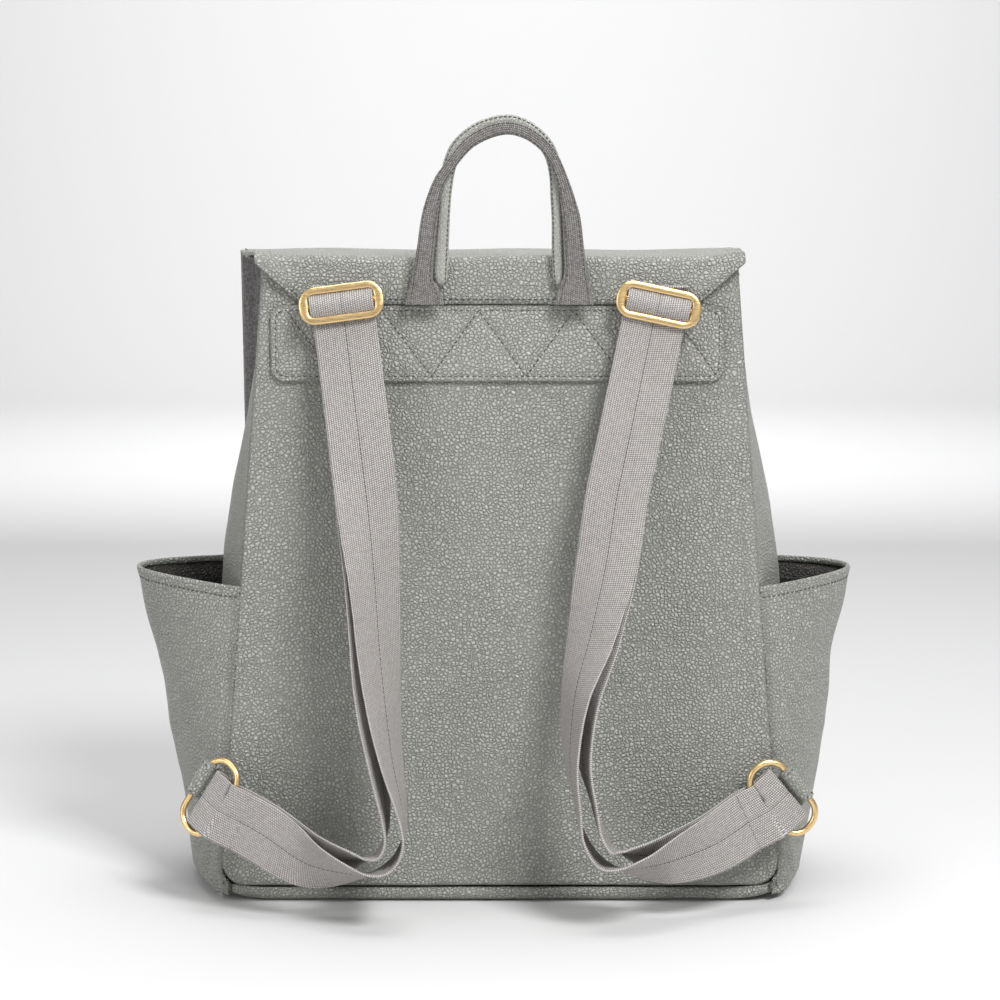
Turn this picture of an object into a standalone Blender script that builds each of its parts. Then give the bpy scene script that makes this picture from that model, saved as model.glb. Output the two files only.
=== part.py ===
"""Backpack diaper bag with a fold-over flap, two webbing straps and a grab handle.

Frame: metres, +Z up, origin at the centre of the base. The back panel, which lies
against the wearer, faces -Y. The flap is sewn along the yoke on the back panel,
runs over the top and hangs down the front (+Y) side.
"""

import math

import bpy
from mathutils import Matrix, Vector

# ---- Fit ----
GAP = 0.0003                  # clearance kept where two pieces touch

# ---- Body ----
BACK_Y = -0.074               # outer face of the back panel
HALF_WIDTH_BASE = 0.178       # half width of the back panel at the floor
WIDTH_TAPER = 0.0819          # half width lost per metre of height
FRONT_Y_BASE = 0.074          # outer face of the front panel at the floor
FRONT_TAPER = 0.0872          # how far the front leans back per metre of height
BASE_HEIGHT = 0.010           # height of the base tray's rim
PANEL_TOP = 0.3925            # top of the front and side panels
BACK_TOP = 0.4000             # top of the back panel
PANEL_THICK = 0.003
GUSSET_THICK = 0.002
LINING_THICK = 0.0008
FOAM_THICK = 0.006
BASE_CORNER = 0.012
SIDE_BULGE = 0.018            # how far the sides swell at their fullest height
BINDING = 0.004               # section of the bound top edges
BINDING_LAP = 0.0004          # how far a side binding stands out over its side panel
FRONT_BINDING_LAP = 0.0002    # how far the front binding stands out over the front panel
FRONT_BINDING_CUT = 0.001     # how far the front binding stops short of the side bindings
LINING_CLEAR = 0.0004         # extra room between a panel's lining and the side linings
PANEL_CORNER = 0.010          # lower corners of the back and front panels
PAD_DROP = 0.006              # how far the pad ends below the panel's top
PAD_CORNER = 0.006
BASE_FLOOR, BASE_WALL = 0.0022, 0.0022
BOARD_THICK = 0.004

# ---- Yoke and flap ----
YOKE_LEFT, YOKE_RIGHT = -0.1403, 0.1372
YOKE_BOTTOM, YOKE_TOP = 0.3296, 0.3766
YOKE_THICK = 0.002
STRIP_TOP = 0.4020            # top of the flap's sewn strip, where it starts to fold
STRIP_HALF_LOW, STRIP_HALF_TOP = 0.1205, 0.1490
FLAP_THICK = 0.0024
FLAP_FRONT_GAP = 0.0031       # space between the front panel and the flap's drop
FLAP_BACK_LEFT, FLAP_BACK_RIGHT = -0.1500, 0.1490
FLAP_LEFT, FLAP_RIGHT = -0.1700, 0.1570
FLAP_DROP_BOTTOM = 0.270
SNAP_HEIGHT = 0.292
SNAP_RADIUS = 0.009
SNAP_SOCKET, SNAP_STUD = 0.0013, 0.0010    # thickness of the two halves of the snap
FLAP_TRIM = 0.002             # how much the drop narrows towards its right lower corner
FLAP_CORNER = 0.014
CLOSURE_HALF, CLOSURE_THICK = 0.026, 0.002
CLOSURE_BELOW, CLOSURE_ABOVE = 0.012, 0.034    # the tab's reach below the drop and above the snap
CLOSURE_LOW_CORNER, CLOSURE_TOP_CORNER = 0.012, 0.006

# ---- Side pockets ----
POCKET_RIM = 0.2000
POCKET_FLOOR = 0.0040
POCKET_THICK = 0.002
POCKET_SEAM = 0.003           # how far the pocket's edge stands off the side panel
POCKET_EDGE = 0.0015          # how far a pocket's edge stops short of the panels' outer faces
POCKET_BINDING_OUT, POCKET_BINDING_IN, POCKET_BINDING_TALL = 0.0004, 0.0024, 0.003
RIGHT_POCKET_FULLNESS = 0.87  # the right pocket hangs a little flatter than the left
POCKET_REACH = ((0.004, 0.0205), (0.050, 0.0335), (0.100, 0.0450), (0.150, 0.0570), (0.204, 0.0730))

# ---- Webbing, sliders and rings ----
WEB_WIDTH = 0.038
WEB_THICK = 0.0016
SLIDER_WIDTH, SLIDER_HEIGHT, SLIDER_THICK = 0.0520, 0.0230, 0.0028
SLIDER_WINDOW_WIDTH, SLIDER_WINDOW_HEIGHT = 0.0395, 0.0140
SLIDER_END_CUT = 0.0015       # how much a slider's end radius is less than half its height
SLIDER_WINDOW_CORNER = 0.003
SLIDER_BAR = (0.0014, 0.0011) # half height and half thickness of the centre bar
SLIDER_WEB_TRIM = 0.0005      # how much narrower the webbing is on each side in the slider
SLIDER_WEB_LIFT, SLIDER_WEB_HALF = 0.0002, 0.0006
SLIDER_WEB_PATH = ((-0.0064, -0.0006), (-0.0040, 0.0012), (-0.0018, 0.0020), (0.0, 0.0022),
                   (0.0018, 0.0020), (0.0040, 0.0012), (0.0064, -0.0006))    # (along, rise)
STRAP_STUB_Y = -0.0779        # face of the strap's stub against the back panel
STRAP_STUB_HEIGHTS = (YOKE_TOP + 2 * GAP, 0.3830, 0.3885)
STRAP_CUT = 0.003             # gap between a strap's straight run and its twisting run
WIRE_RADIUS = 0.002
RING_DEPTH = 0.024            # distance between the ring's two long bars
RING_CORNER = 0.006
RING_WEB_CLEAR, RING_WEB_LEG = 0.0004, 0.0060
RING_WEB_SHARE = 0.97         # width of the webbing at the ring as a share of its full width
TAB_LENGTH = 0.024
TAB_CLEAR, TAB_WALL = 0.0006, 0.0018

# ---- Colours (linear RGB), roughness and metallic value ----
FINISHES = {
    "pebbled_leather": ((0.350, 0.354, 0.326), 0.52, 0.0),
    "strap_webbing": ((0.500, 0.466, 0.445), 0.80, 0.0),
    "brushed_gold": ((0.780, 0.610, 0.400), 0.30, 1.0),
    "twill_lining": ((0.160, 0.140, 0.155), 0.75, 0.0),
    "foam": ((0.600, 0.600, 0.580), 0.95, 0.0),
    "stiffener_board": ((0.230, 0.190, 0.150), 0.85, 0.0),
}

# Each strap's face layer, from just under its slider down to the side ring. A station is the
# centre in metres, the twist in degrees about the strap's own line, and the distance to the
# second layer behind it. At 0 degrees the webbing faces -Y; at 90 it stands edge-on.
LEFT_STRAP = (
    (-0.0950, -0.0860, 0.3745, 0, 0.0030),
    (-0.0838, -0.1060, 0.2900, 0, 0.0030),
    (-0.0800, -0.1120, 0.2600, 14, 0.0034),
    (-0.0763, -0.1170, 0.2210, 36, 0.0042),
    (-0.0738, -0.1205, 0.1830, 47, 0.0055),
    (-0.0706, -0.1230, 0.1450, 58, 0.0070),
    (-0.0656, -0.1250, 0.1060, 73, 0.0085),
    (-0.0597, -0.1260, 0.0720, 86, 0.0100),
    (-0.0590, -0.1260, 0.0540, 90, 0.0110),
    (-0.0660, -0.1260, 0.0400, 88, 0.0110),
    (-0.0790, -0.1255, 0.0340, 76, 0.0100),
    (-0.0960, -0.1240, 0.0345, 54, 0.0080),
    (-0.1200, -0.1190, 0.0395, 22, 0.0055),
    (-0.1450, -0.1100, 0.0535, 3, 0.0052),
    (-0.1625, -0.1020, 0.0610, 0, 0.0064),
)
RIGHT_STRAP = (
    (0.0945, -0.0860, 0.3745, 0, 0.0030),
    (0.0765, -0.1005, 0.2900, 0, 0.0030),
    (0.0701, -0.1050, 0.2600, 4, 0.0034),
    (0.0640, -0.1105, 0.2210, 19, 0.0042),
    (0.0559, -0.1150, 0.1830, 43, 0.0055),
    (0.0462, -0.1195, 0.1450, 66, 0.0070),
    (0.0427, -0.1230, 0.1060, 78, 0.0085),
    (0.0465, -0.1250, 0.0750, 86, 0.0100),
    (0.0505, -0.1260, 0.0560, 90, 0.0110),
    (0.0600, -0.1260, 0.0420, 88, 0.0110),
    (0.0730, -0.1258, 0.0375, 74, 0.0100),
    (0.0890, -0.1245, 0.0380, 54, 0.0080),
    (0.1080, -0.1195, 0.0412, 28, 0.0055),
    (0.1338, -0.1070, 0.0480, 5, 0.0050),
    (0.1560, -0.0930, 0.0585, 0, 0.0064),
)

# Per side: the ring tab's centre, the direction of its bar, the lean of the ring out of the
# back panel's plane in degrees, and where the ring's two bars start and end along that
# direction, first the bar in the tab and then the bar in the webbing.
RINGS = {
    "left": ((-0.1860, -0.0830, 0.0830), (0.530, 0.0, 0.848), 30, (-0.0275, 0.0205), (-0.0335, 0.0165)),
    "right": ((0.1850, -0.0830, 0.0790), (-0.645, 0.0, 0.764), 10, (-0.0235, 0.0225), (-0.0275, 0.0265)),
}

# Per side: the slider's centre and its tilt about Y in degrees (positive lifts +X).
SLIDERS = {
    "left": ((-0.0958, -0.0895, 0.3787), 6.7),
    "right": ((0.0958, -0.0888, 0.3775), -6.0),
}

# The grab handle's webbing and its leather underlay, each station as x, z and width.
HANDLE_WEB = (
    (-0.0456, 0.3772, 0.0240), (-0.0462, 0.3860, 0.0190), (-0.0470, 0.3930, 0.0130),
    (-0.0451, 0.4091, 0.0108), (-0.0427, 0.4282, 0.0100), (-0.0402, 0.4402, 0.0086),
    (-0.0359, 0.4522, 0.0072), (-0.0305, 0.4600, 0.0068), (-0.0250, 0.4675, 0.0070),
    (-0.0175, 0.4752, 0.0076), (-0.0061, 0.4812, 0.0082), (0.0055, 0.4832, 0.0080),
    (0.0165, 0.4800, 0.0076), (0.0256, 0.4735, 0.0070), (0.0315, 0.4662, 0.0068),
    (0.0354, 0.4580, 0.0068), (0.0385, 0.4490, 0.0076), (0.0408, 0.4402, 0.0090),
    (0.0431, 0.4282, 0.0112), (0.0448, 0.4091, 0.0125), (0.0459, 0.3950, 0.0150),
    (0.0455, 0.3865, 0.0200), (0.0450, 0.3772, 0.0240),
)
HANDLE_LEATHER = (
    (-0.0358, 0.3885, 0.0070), (-0.0362, 0.3980, 0.0092), (-0.0355, 0.4091, 0.0088),
    (-0.0342, 0.4282, 0.0078), (-0.0332, 0.4402, 0.0074), (-0.0318, 0.4522, 0.0074),
    (-0.0300, 0.4620, 0.0084), (-0.0248, 0.4725, 0.0090), (-0.0145, 0.4812, 0.0092),
    (-0.0035, 0.4856, 0.0092), (0.0065, 0.4865, 0.0092), (0.0155, 0.4835, 0.0092),
    (0.0240, 0.4770, 0.0090), (0.0305, 0.4680, 0.0084), (0.0332, 0.4560, 0.0074),
    (0.0340, 0.4402, 0.0070), (0.0346, 0.4282, 0.0068), (0.0350, 0.4091, 0.0074),
    (0.0355, 0.3980, 0.0074), (0.0356, 0.3885, 0.0060),
)
HANDLE_FRONT_Y = -0.0872
HANDLE_WEB_THICK = 0.0034
HANDLE_LEATHER_THICK = 0.0048


# ---------------------------------------------------------------- helpers

def clear_scene():
    """Remove every object that is in the scene."""
    for obj in list(bpy.data.objects):
        bpy.data.objects.remove(obj, do_unlink=True)


def finish_material(node_name, finish):
    """Make the Principled material of one sub-part from a named finish."""
    colour, roughness, metallic = FINISHES[finish]
    mat = bpy.data.materials.new(node_name + "_" + finish)
    mat.use_nodes = True
    shader = mat.node_tree.nodes["Principled BSDF"]
    shader.inputs["Base Color"].default_value = (*colour, 1.0)
    shader.inputs["Roughness"].default_value = roughness
    shader.inputs["Metallic"].default_value = metallic
    return mat


def make_axis(name, position):
    """Make an empty that marks a joint's axis."""
    axis = bpy.data.objects.new(name, None)
    axis.empty_display_size = 0.02
    axis.location = position
    bpy.context.collection.objects.link(axis)
    return axis


def loft(name, sections, finish, closed=False, axis=None, smooth=False):
    """Skin a row of equal point rings into one closed solid.

    The ends are capped unless the row is closed on itself. With an axis the object
    hangs under that empty, with its origin on it.
    """
    size = len(sections[0])
    count = len(sections)
    verts = [tuple(point) for ring in sections for point in ring]
    faces = []
    for row in range(count if closed else count - 1):
        here = row * size
        there = ((row + 1) % count) * size
        for i in range(size):
            j = (i + 1) % size
            faces += split_quad(verts, here + i, here + j, there + j, there + i)
    if not closed:
        faces.append(tuple(range(size - 1, -1, -1)))
        faces.append(tuple(range((count - 1) * size, count * size)))
    mesh = bpy.data.meshes.new(name)
    mesh.from_pydata(verts, [], faces)
    if signed_volume(mesh) < 0.0:
        mesh.flip_normals()
    mesh.materials.append(finish_material(name, finish))
    obj = bpy.data.objects.new(name, mesh)
    bpy.context.collection.objects.link(obj)
    if axis is not None:
        mesh.transform(Matrix.Translation(-Vector(axis.location)))
        obj.parent = axis
    if smooth:
        mesh.shade_smooth()
        mesh.set_sharp_from_angle(angle=math.radians(40.0))
    mesh.update()
    return obj


def split_quad(verts, a, b, c, d):
    """Cut a four-cornered face along its shorter diagonal, so that nested walls match."""
    if math.dist(verts[a], verts[c]) <= math.dist(verts[b], verts[d]):
        return [(a, b, c), (a, c, d)]
    return [(a, b, d), (b, c, d)]


def signed_volume(mesh):
    """Volume of a closed mesh, negative when its faces point inwards."""
    total = 0.0
    for face in mesh.polygons:
        corners = [mesh.vertices[i].co for i in face.vertices]
        for a, b in zip(corners[1:-1], corners[2:]):
            total += corners[0].dot(a.cross(b)) / 6.0
    return total


def round_corners(points, radii, steps=4):
    """Replace each corner of a flat polygon by an arc-like curve of the given radius."""
    outline = []
    count = len(points)
    for i, (point, radius) in enumerate(zip(points, radii)):
        corner = Vector(point)
        if radius <= 0.0:
            outline.append(tuple(corner))
            continue
        before = (Vector(points[i - 1]) - corner).normalized()
        after = (Vector(points[(i + 1) % count]) - corner).normalized()
        half = before.angle(after) / 2.0
        reach = radius / math.tan(half)
        centre = corner + (before + after).normalized() * (radius / math.sin(half))
        start = corner + before * reach - centre
        end = corner + after * reach - centre
        sweep = math.pi - 2.0 * half
        for k in range(steps + 1):
            share = k / steps
            blend = (start * math.sin((1.0 - share) * sweep) + end * math.sin(share * sweep)) / math.sin(sweep)
            outline.append(tuple(centre + blend))
    return outline


def upright_plate(name, outline, outer_y, inner_y, finish, axis=None):
    """Extrude an outline in X and Z between two faces whose Y depends on the height."""
    rings = [[(x, face(z), z) for x, z in outline] for face in (outer_y, inner_y)]
    return loft(name, rings, finish, axis=axis)


def flat_plate(name, outline, low, high, finish, axis=None):
    """Extrude an outline in X and Y between two heights."""
    return loft(name, [[(x, y, z) for x, y in outline] for z in (low, high)], finish, axis=axis)


def half_width(z):
    """Half width of the back and front panels at a height."""
    return HALF_WIDTH_BASE - WIDTH_TAPER * z


def front_y(z):
    """Outer face of the front panel at a height."""
    return FRONT_Y_BASE - FRONT_TAPER * z


def ease(share):
    """Smooth step from 0 to 1."""
    share = min(max(share, 0.0), 1.0)
    return share * share * (3.0 - 2.0 * share)


def side_swell(z):
    """How far a side panel stands out at the middle of its depth."""
    return SIDE_BULGE * ease((z - BASE_HEIGHT) / 0.12) * (1.0 - 0.92 * ease((z - 0.20) / 0.17))


def side_x(share, z):
    """Outer face of a side panel, where share runs from 0 at the back to 1 at the front."""
    return half_width(z) + side_swell(z) * math.sin(math.pi * share)


def side_y(share, z):
    """Depth of a side panel's point, between the back and front panels."""
    back = BACK_Y + PANEL_THICK + GAP
    front = front_y(z) - PANEL_THICK - GAP
    return back + (front - back) * share


def lerp_table(table, value):
    """Read a small table of (position, value) pairs with straight lines between them."""
    for (x0, y0), (x1, y1) in zip(table, table[1:]):
        if value <= x1:
            return y0 + (y1 - y0) * (value - x0) / (x1 - x0)
    return table[-1][1]


def smooth_route(stations, steps):
    """Pass a Catmull-Rom curve through a row of stations of equal length."""
    rows = [tuple(row) for row in stations]
    route = []
    for i in range(len(rows) - 1):
        before, a = rows[max(i - 1, 0)], rows[i]
        b, after = rows[i + 1], rows[min(i + 2, len(rows) - 1)]
        for k in range(steps):
            t = k / steps
            route.append(tuple(
                0.5 * (2 * q + (r - p) * t + (2 * p - 5 * q + 4 * r - s) * t ** 2
                       + (3 * q - p - 3 * r + s) * t ** 3)
                for p, q, r, s in zip(before, a, b, after)))
    route.append(rows[-1])
    return route


# ---------------------------------------------------------------- body of the bag

def panel_outline(low, high, inset=0.0, corner=0.0):
    """Outline of a panel that tapers with the body, with rounded lower corners."""
    left_low, left_high = half_width(low) - inset, half_width(high) - inset
    points = [(-left_low, low), (left_low, low), (left_high, high), (-left_high, high)]
    return round_corners(points, [corner, corner, 0.0, 0.0])


def build_back():
    """Back panel, its foam pad and its lining."""
    low = BASE_HEIGHT + GAP
    inset = GUSSET_THICK + LINING_THICK + 2 * GAP + LINING_CLEAR
    outer = BACK_Y
    inner = outer + PANEL_THICK
    upright_plate("back_panel", panel_outline(low, BACK_TOP, corner=PANEL_CORNER),
                  lambda z: outer, lambda z: inner, "pebbled_leather")
    pad_out = inner + GAP
    pad_in = pad_out + FOAM_THICK
    upright_plate("back_pad", panel_outline(low, PANEL_TOP - PAD_DROP, inset, PAD_CORNER),
                  lambda z: pad_out, lambda z: pad_in, "foam")
    upright_plate("back_lining", panel_outline(low, PANEL_TOP, inset),
                  lambda z: pad_in + GAP, lambda z: pad_in + GAP + LINING_THICK, "twill_lining")


def build_front():
    """Front panel and its lining."""
    low = BASE_HEIGHT + GAP
    inset = GUSSET_THICK + LINING_THICK + 2 * GAP + LINING_CLEAR
    upright_plate("front_panel", panel_outline(low, PANEL_TOP, corner=PANEL_CORNER),
                  front_y, lambda z: front_y(z) - PANEL_THICK, "pebbled_leather")
    upright_plate("front_lining", panel_outline(low, PANEL_TOP, inset),
                  lambda z: front_y(z) - PANEL_THICK - GAP,
                  lambda z: front_y(z) - PANEL_THICK - GAP - LINING_THICK, "twill_lining")


def side_wall(name, sign, outer_inset, thick, levels, columns, finish):
    """A swelling side wall between the back and front panels."""
    rings = []
    for level in levels:
        shares = [k / columns for k in range(columns + 1)]
        outer = [(sign * (side_x(s, level) - outer_inset), side_y(s, level), level) for s in shares]
        inner = [(sign * (side_x(s, level) - outer_inset - thick), side_y(s, level), level)
                 for s in reversed(shares)]
        rings.append(outer + inner)
    return loft(name, rings, finish)


def build_sides():
    """Side panels, their linings and the bound top edges."""
    levels = [BASE_HEIGHT + GAP + (PANEL_TOP - BASE_HEIGHT - GAP) * k / 9 for k in range(10)]
    for side, sign in (("left", -1.0), ("right", 1.0)):
        side_wall(side + "_gusset", sign, 0.0, GUSSET_THICK, levels, 8, "pebbled_leather")
        side_wall(side + "_lining", sign, GUSSET_THICK + GAP, LINING_THICK, levels, 8, "twill_lining")
        low = PANEL_TOP + GAP
        ring_levels = [low, low + BINDING]
        side_wall(side + "_top_binding", sign, -BINDING_LAP, BINDING, ring_levels, 8, "pebbled_leather")


def build_front_binding():
    """The bound top edge of the front panel."""
    low, high = PANEL_TOP + GAP, PANEL_TOP + GAP + BINDING
    half = half_width(high) - BINDING - FRONT_BINDING_CUT
    outline = [(-half, low), (half, low), (half, high), (-half, high)]
    upright_plate("front_top_binding", outline, lambda z: front_y(z) + FRONT_BINDING_LAP,
                  lambda z: front_y(z) + FRONT_BINDING_LAP - BINDING, "pebbled_leather")


def base_outline(inset):
    """Rounded rectangle of the base, set in from its edge."""
    x, y = HALF_WIDTH_BASE - inset, -BACK_Y - inset
    radius = BASE_CORNER - inset * 0.5
    return round_corners([(-x, -y), (x, -y), (x, y), (-x, y)], [radius] * 4)


def build_base():
    """Base tray that stands on the floor, and the stiffener board that lies in it."""
    outer, inner = base_outline(0.0), base_outline(BASE_WALL)
    rings = [
        [(x, y, 0.0) for x, y in outer],
        [(x, y, BASE_HEIGHT) for x, y in outer],
        [(x, y, BASE_HEIGHT) for x, y in inner],
        [(x, y, BASE_FLOOR) for x, y in inner],
    ]
    loft("base_tray", rings, "pebbled_leather")
    low = BASE_FLOOR + GAP
    flat_plate("base_board", base_outline(BASE_WALL + GAP), low, low + BOARD_THICK, "stiffener_board")


# ---------------------------------------------------------------- yoke and flap

def build_yoke():
    """Patch on the back panel that anchors the straps, the handle and the flap."""
    points = [(YOKE_LEFT, YOKE_BOTTOM), (YOKE_RIGHT, YOKE_BOTTOM), (YOKE_RIGHT, YOKE_TOP),
              (YOKE_LEFT, YOKE_TOP)]
    upright_plate("yoke", round_corners(points, [0.008] * 4), lambda z: BACK_Y - GAP - YOKE_THICK,
                  lambda z: BACK_Y - GAP, "pebbled_leather")


def build_flap_strip():
    """The part of the flap that stays sewn flat above the yoke."""
    low = YOKE_TOP + GAP
    points = [(-STRIP_HALF_LOW, low), (STRIP_HALF_LOW, low), (STRIP_HALF_TOP, STRIP_TOP),
              (-STRIP_HALF_TOP, STRIP_TOP)]
    upright_plate("flap_strip", points, lambda z: BACK_Y - GAP - YOKE_THICK,
                  lambda z: BACK_Y - GAP, "pebbled_leather")


def build_flap_top():
    """The part of the flap that lies over the mouth, hinged at the top of the back."""
    low = STRIP_TOP + GAP
    high = low + 2 * GAP + LINING_THICK + FLAP_THICK
    back, front = BACK_Y - GAP, front_y(high) + FLAP_FRONT_GAP
    axis = make_axis("flap_top_axis", (0.0, back, low))
    outline = [(FLAP_BACK_LEFT, back), (FLAP_BACK_RIGHT, back), (FLAP_RIGHT, front), (FLAP_LEFT, front)]
    lining_low = low + GAP
    lining_high = lining_low + LINING_THICK
    flat_plate("flap_top_lining", outline, lining_low, lining_high, "twill_lining", axis)
    flat_plate("flap_top_panel", outline, lining_high + GAP, high, "pebbled_leather", axis)
    return front, high


def front_plane_point(x, z, offset):
    """A point at a distance outside the front panel's plane."""
    lean = math.atan(FRONT_TAPER)
    return Vector((x, front_y(z) + offset * math.cos(lean), z + offset * math.sin(lean)))


def disc(name, x, z, start, thick, radius, finish, axis=None):
    """A round disc lying on the leaning front, from one distance off it to another."""
    lean = math.atan(FRONT_TAPER)
    up = Vector((0.0, -math.sin(lean), math.cos(lean)))
    rings = []
    for offset in (start, start + thick):
        centre = front_plane_point(x, z, offset)
        turns = [2.0 * math.pi * k / 20 for k in range(20)]
        rings.append([centre + Vector((radius * math.cos(a), 0.0, 0.0)) + up * radius * math.sin(a)
                      for a in turns])
    loft(name, rings, finish, axis=axis, smooth=True)


def build_flap_front(flap_edge, flap_height):
    """The drop that hangs over the front, with its tab and both halves of the snap."""
    axis = make_axis("flap_front_axis", (0.0, flap_edge + GAP, flap_height))
    lining_y = FLAP_FRONT_GAP + GAP
    panel_y = lining_y + LINING_THICK + GAP
    tab_y = panel_y + FLAP_THICK + GAP
    right_low = FLAP_RIGHT - FLAP_TRIM
    points = [(FLAP_LEFT, FLAP_DROP_BOTTOM), (right_low, FLAP_DROP_BOTTOM),
              (FLAP_RIGHT, flap_height), (FLAP_LEFT, flap_height)]
    outline = round_corners(points, [FLAP_CORNER, FLAP_CORNER, 0.0, 0.0])
    upright_plate("flap_front_lining", outline, lambda z: front_y(z) + lining_y,
                  lambda z: front_y(z) + lining_y + LINING_THICK, "twill_lining", axis)
    upright_plate("flap_front_panel", outline, lambda z: front_y(z) + panel_y,
                  lambda z: front_y(z) + panel_y + FLAP_THICK, "pebbled_leather", axis)
    tab_low, tab_high = FLAP_DROP_BOTTOM - CLOSURE_BELOW, SNAP_HEIGHT + CLOSURE_ABOVE
    tab = [(-CLOSURE_HALF, tab_low), (CLOSURE_HALF, tab_low), (CLOSURE_HALF, tab_high), (-CLOSURE_HALF, tab_high)]
    corners = [CLOSURE_LOW_CORNER] * 2 + [CLOSURE_TOP_CORNER] * 2
    upright_plate("closure_tab", round_corners(tab, corners),
                  lambda z: front_y(z) + tab_y, lambda z: front_y(z) + tab_y + CLOSURE_THICK,
                  "pebbled_leather", axis)
    disc("snap_socket", 0.0, SNAP_HEIGHT, GAP, SNAP_SOCKET, SNAP_RADIUS, "brushed_gold")
    disc("snap_stud", 0.0, SNAP_HEIGHT, 2 * GAP + SNAP_SOCKET, SNAP_STUD, SNAP_RADIUS, "brushed_gold", axis)


# ---------------------------------------------------------------- side pockets

def pocket_x(share, z, fullness):
    """Outer face of a side pocket at a height."""
    reach = fullness * (lerp_table(POCKET_REACH, z) - POCKET_SEAM)
    return half_width(z) + POCKET_SEAM + reach * math.sin(math.pi * share)


def pocket_y(share, z):
    """Depth of a side pocket's point, between the back and front seams."""
    back = BACK_Y + POCKET_EDGE
    front = front_y(z) - POCKET_EDGE
    return back + (front - back) * share


def pocket_rim(share):
    """Height of the pocket's mouth, a little higher at its middle."""
    return POCKET_RIM - 0.001 + 0.004 * math.sin(math.pi * share)


def gusset_clear_x(y, z):
    """The side panel's outer face at a depth, plus the clearance."""
    back, front = side_y(0.0, z), side_y(1.0, z)
    share = min(max((y - back) / (front - back), 0.0), 1.0)
    return side_x(share, max(z, BASE_HEIGHT)) + GAP


def pocket_section(sign, share, fullness):
    """The hooked cross-section of a pocket: outer wall, floor and inner wall."""
    rim = pocket_rim(share)
    levels = [POCKET_FLOOR + (rim - POCKET_FLOOR) * k / 4 for k in range(5)]
    y = pocket_y(share, 0.1)
    floor_top = POCKET_FLOOR + POCKET_THICK
    outer = [(sign * pocket_x(share, z, fullness), pocket_y(share, z), z) for z in reversed(levels)]
    root = max(gusset_clear_x(y, POCKET_FLOOR), HALF_WIDTH_BASE + GAP)
    floor = [(sign * root, pocket_y(share, z), z) for z in (POCKET_FLOOR, floor_top)]
    levels[0] = floor_top
    inner = [(sign * (pocket_x(share, z, fullness) - POCKET_THICK), pocket_y(share, z), z) for z in levels]
    return outer + floor + inner


def build_pockets():
    """The two open side pockets and the binding round each mouth."""
    shares = [k / 14 for k in range(15)]
    for side, sign, fullness in (("left", -1.0, 1.0), ("right", 1.0, RIGHT_POCKET_FULLNESS)):
        loft(side + "_pocket", [pocket_section(sign, s, fullness) for s in shares], "pebbled_leather")
        rings = []
        for s in shares:
            low = pocket_rim(s) + GAP
            x, y = pocket_x(s, low, fullness), pocket_y(s, low)
            out, back = sign * (x + POCKET_BINDING_OUT), sign * (x - POCKET_BINDING_IN)
            high = low + POCKET_BINDING_TALL
            rings.append([(out, y, low), (out, y, high), (back, y, high), (back, y, low)])
        loft(side + "_pocket_binding", rings, "pebbled_leather")


# ---------------------------------------------------------------- straps

def ribbon_frame(route, index, sign):
    """Centre, width direction and facing direction of a strap at one station."""
    here = Vector(route[index][:3])
    before = Vector(route[max(index - 1, 0)][:3])
    after = Vector(route[min(index + 1, len(route) - 1)][:3])
    line = (after - before).normalized()
    flat = math.hypot(line.x, line.z)
    across = Vector((-line.z / flat, 0.0, line.x / flat))
    twist = math.radians(route[index][3])
    width = across * math.cos(twist) + Vector((0.0, sign * math.sin(twist), 0.0))
    width = (width - line * width.dot(line)).normalized()
    return here, width, line.cross(width)


def ribbon(name, route, sign, behind):
    """A strap layer with a flat section; behind selects the second layer."""
    rings = []
    for i in range(len(route)):
        centre, width, face = ribbon_frame(route, i, sign)
        if behind:
            centre = centre - face * route[i][4]
        w, t = width * WEB_WIDTH / 2.0, face * WEB_THICK / 2.0
        rings.append([centre - w - t, centre + w - t, centre + w + t, centre - w + t])
    return loft(name, rings, "strap_webbing")


def build_straps():
    """Both layers of each shoulder strap, split where the strap starts to twist."""
    for side, sign, stations in (("left", 1.0, LEFT_STRAP), ("right", -1.0, RIGHT_STRAP)):
        route = smooth_route(stations, 2)
        top = list(stations[:2])
        start = ribbon_cut(stations[0], stations[1], STRAP_CUT)
        lower = [start] + route[3:]
        for layer, behind in (("face", False), ("rear", True)):
            ribbon(side + "_strap_" + layer + "_upper", top, sign, behind)
            ribbon(side + "_strap_" + layer + "_lower", lower, sign, behind)


def ribbon_cut(start, end, past):
    """A station a short way past the end of a straight run, along the same line."""
    direction = (Vector(end[:3]) - Vector(start[:3])).normalized()
    point = Vector(end[:3]) + direction * past
    return (point.x, point.y, point.z, end[3], end[4])


# ---------------------------------------------------------------- sliders

def slider_basis(side):
    """Centre, width, length and facing directions of a slider, parallel to its strap."""
    centre, tilt = SLIDERS[side]
    stations = LEFT_STRAP if side == "left" else RIGHT_STRAP
    down = (Vector(stations[1][:3]) - Vector(stations[0][:3])).normalized()
    turn = math.radians(tilt)
    width = Vector((math.cos(turn), 0.0, math.sin(turn)))
    width = (width - down * width.dot(down)).normalized()
    return Vector(centre), width, -down, down.cross(width)


def slider_loop(basis, half_x, half_z, radius, offset):
    """A rounded rectangle lying in the slider's plane."""
    centre, width, up, face = basis
    outline = round_corners([(-half_x, -half_z), (half_x, -half_z), (half_x, half_z), (-half_x, half_z)],
                            [radius] * 4, 5)
    return [centre + width * a + up * b + face * offset for a, b in outline]


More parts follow.
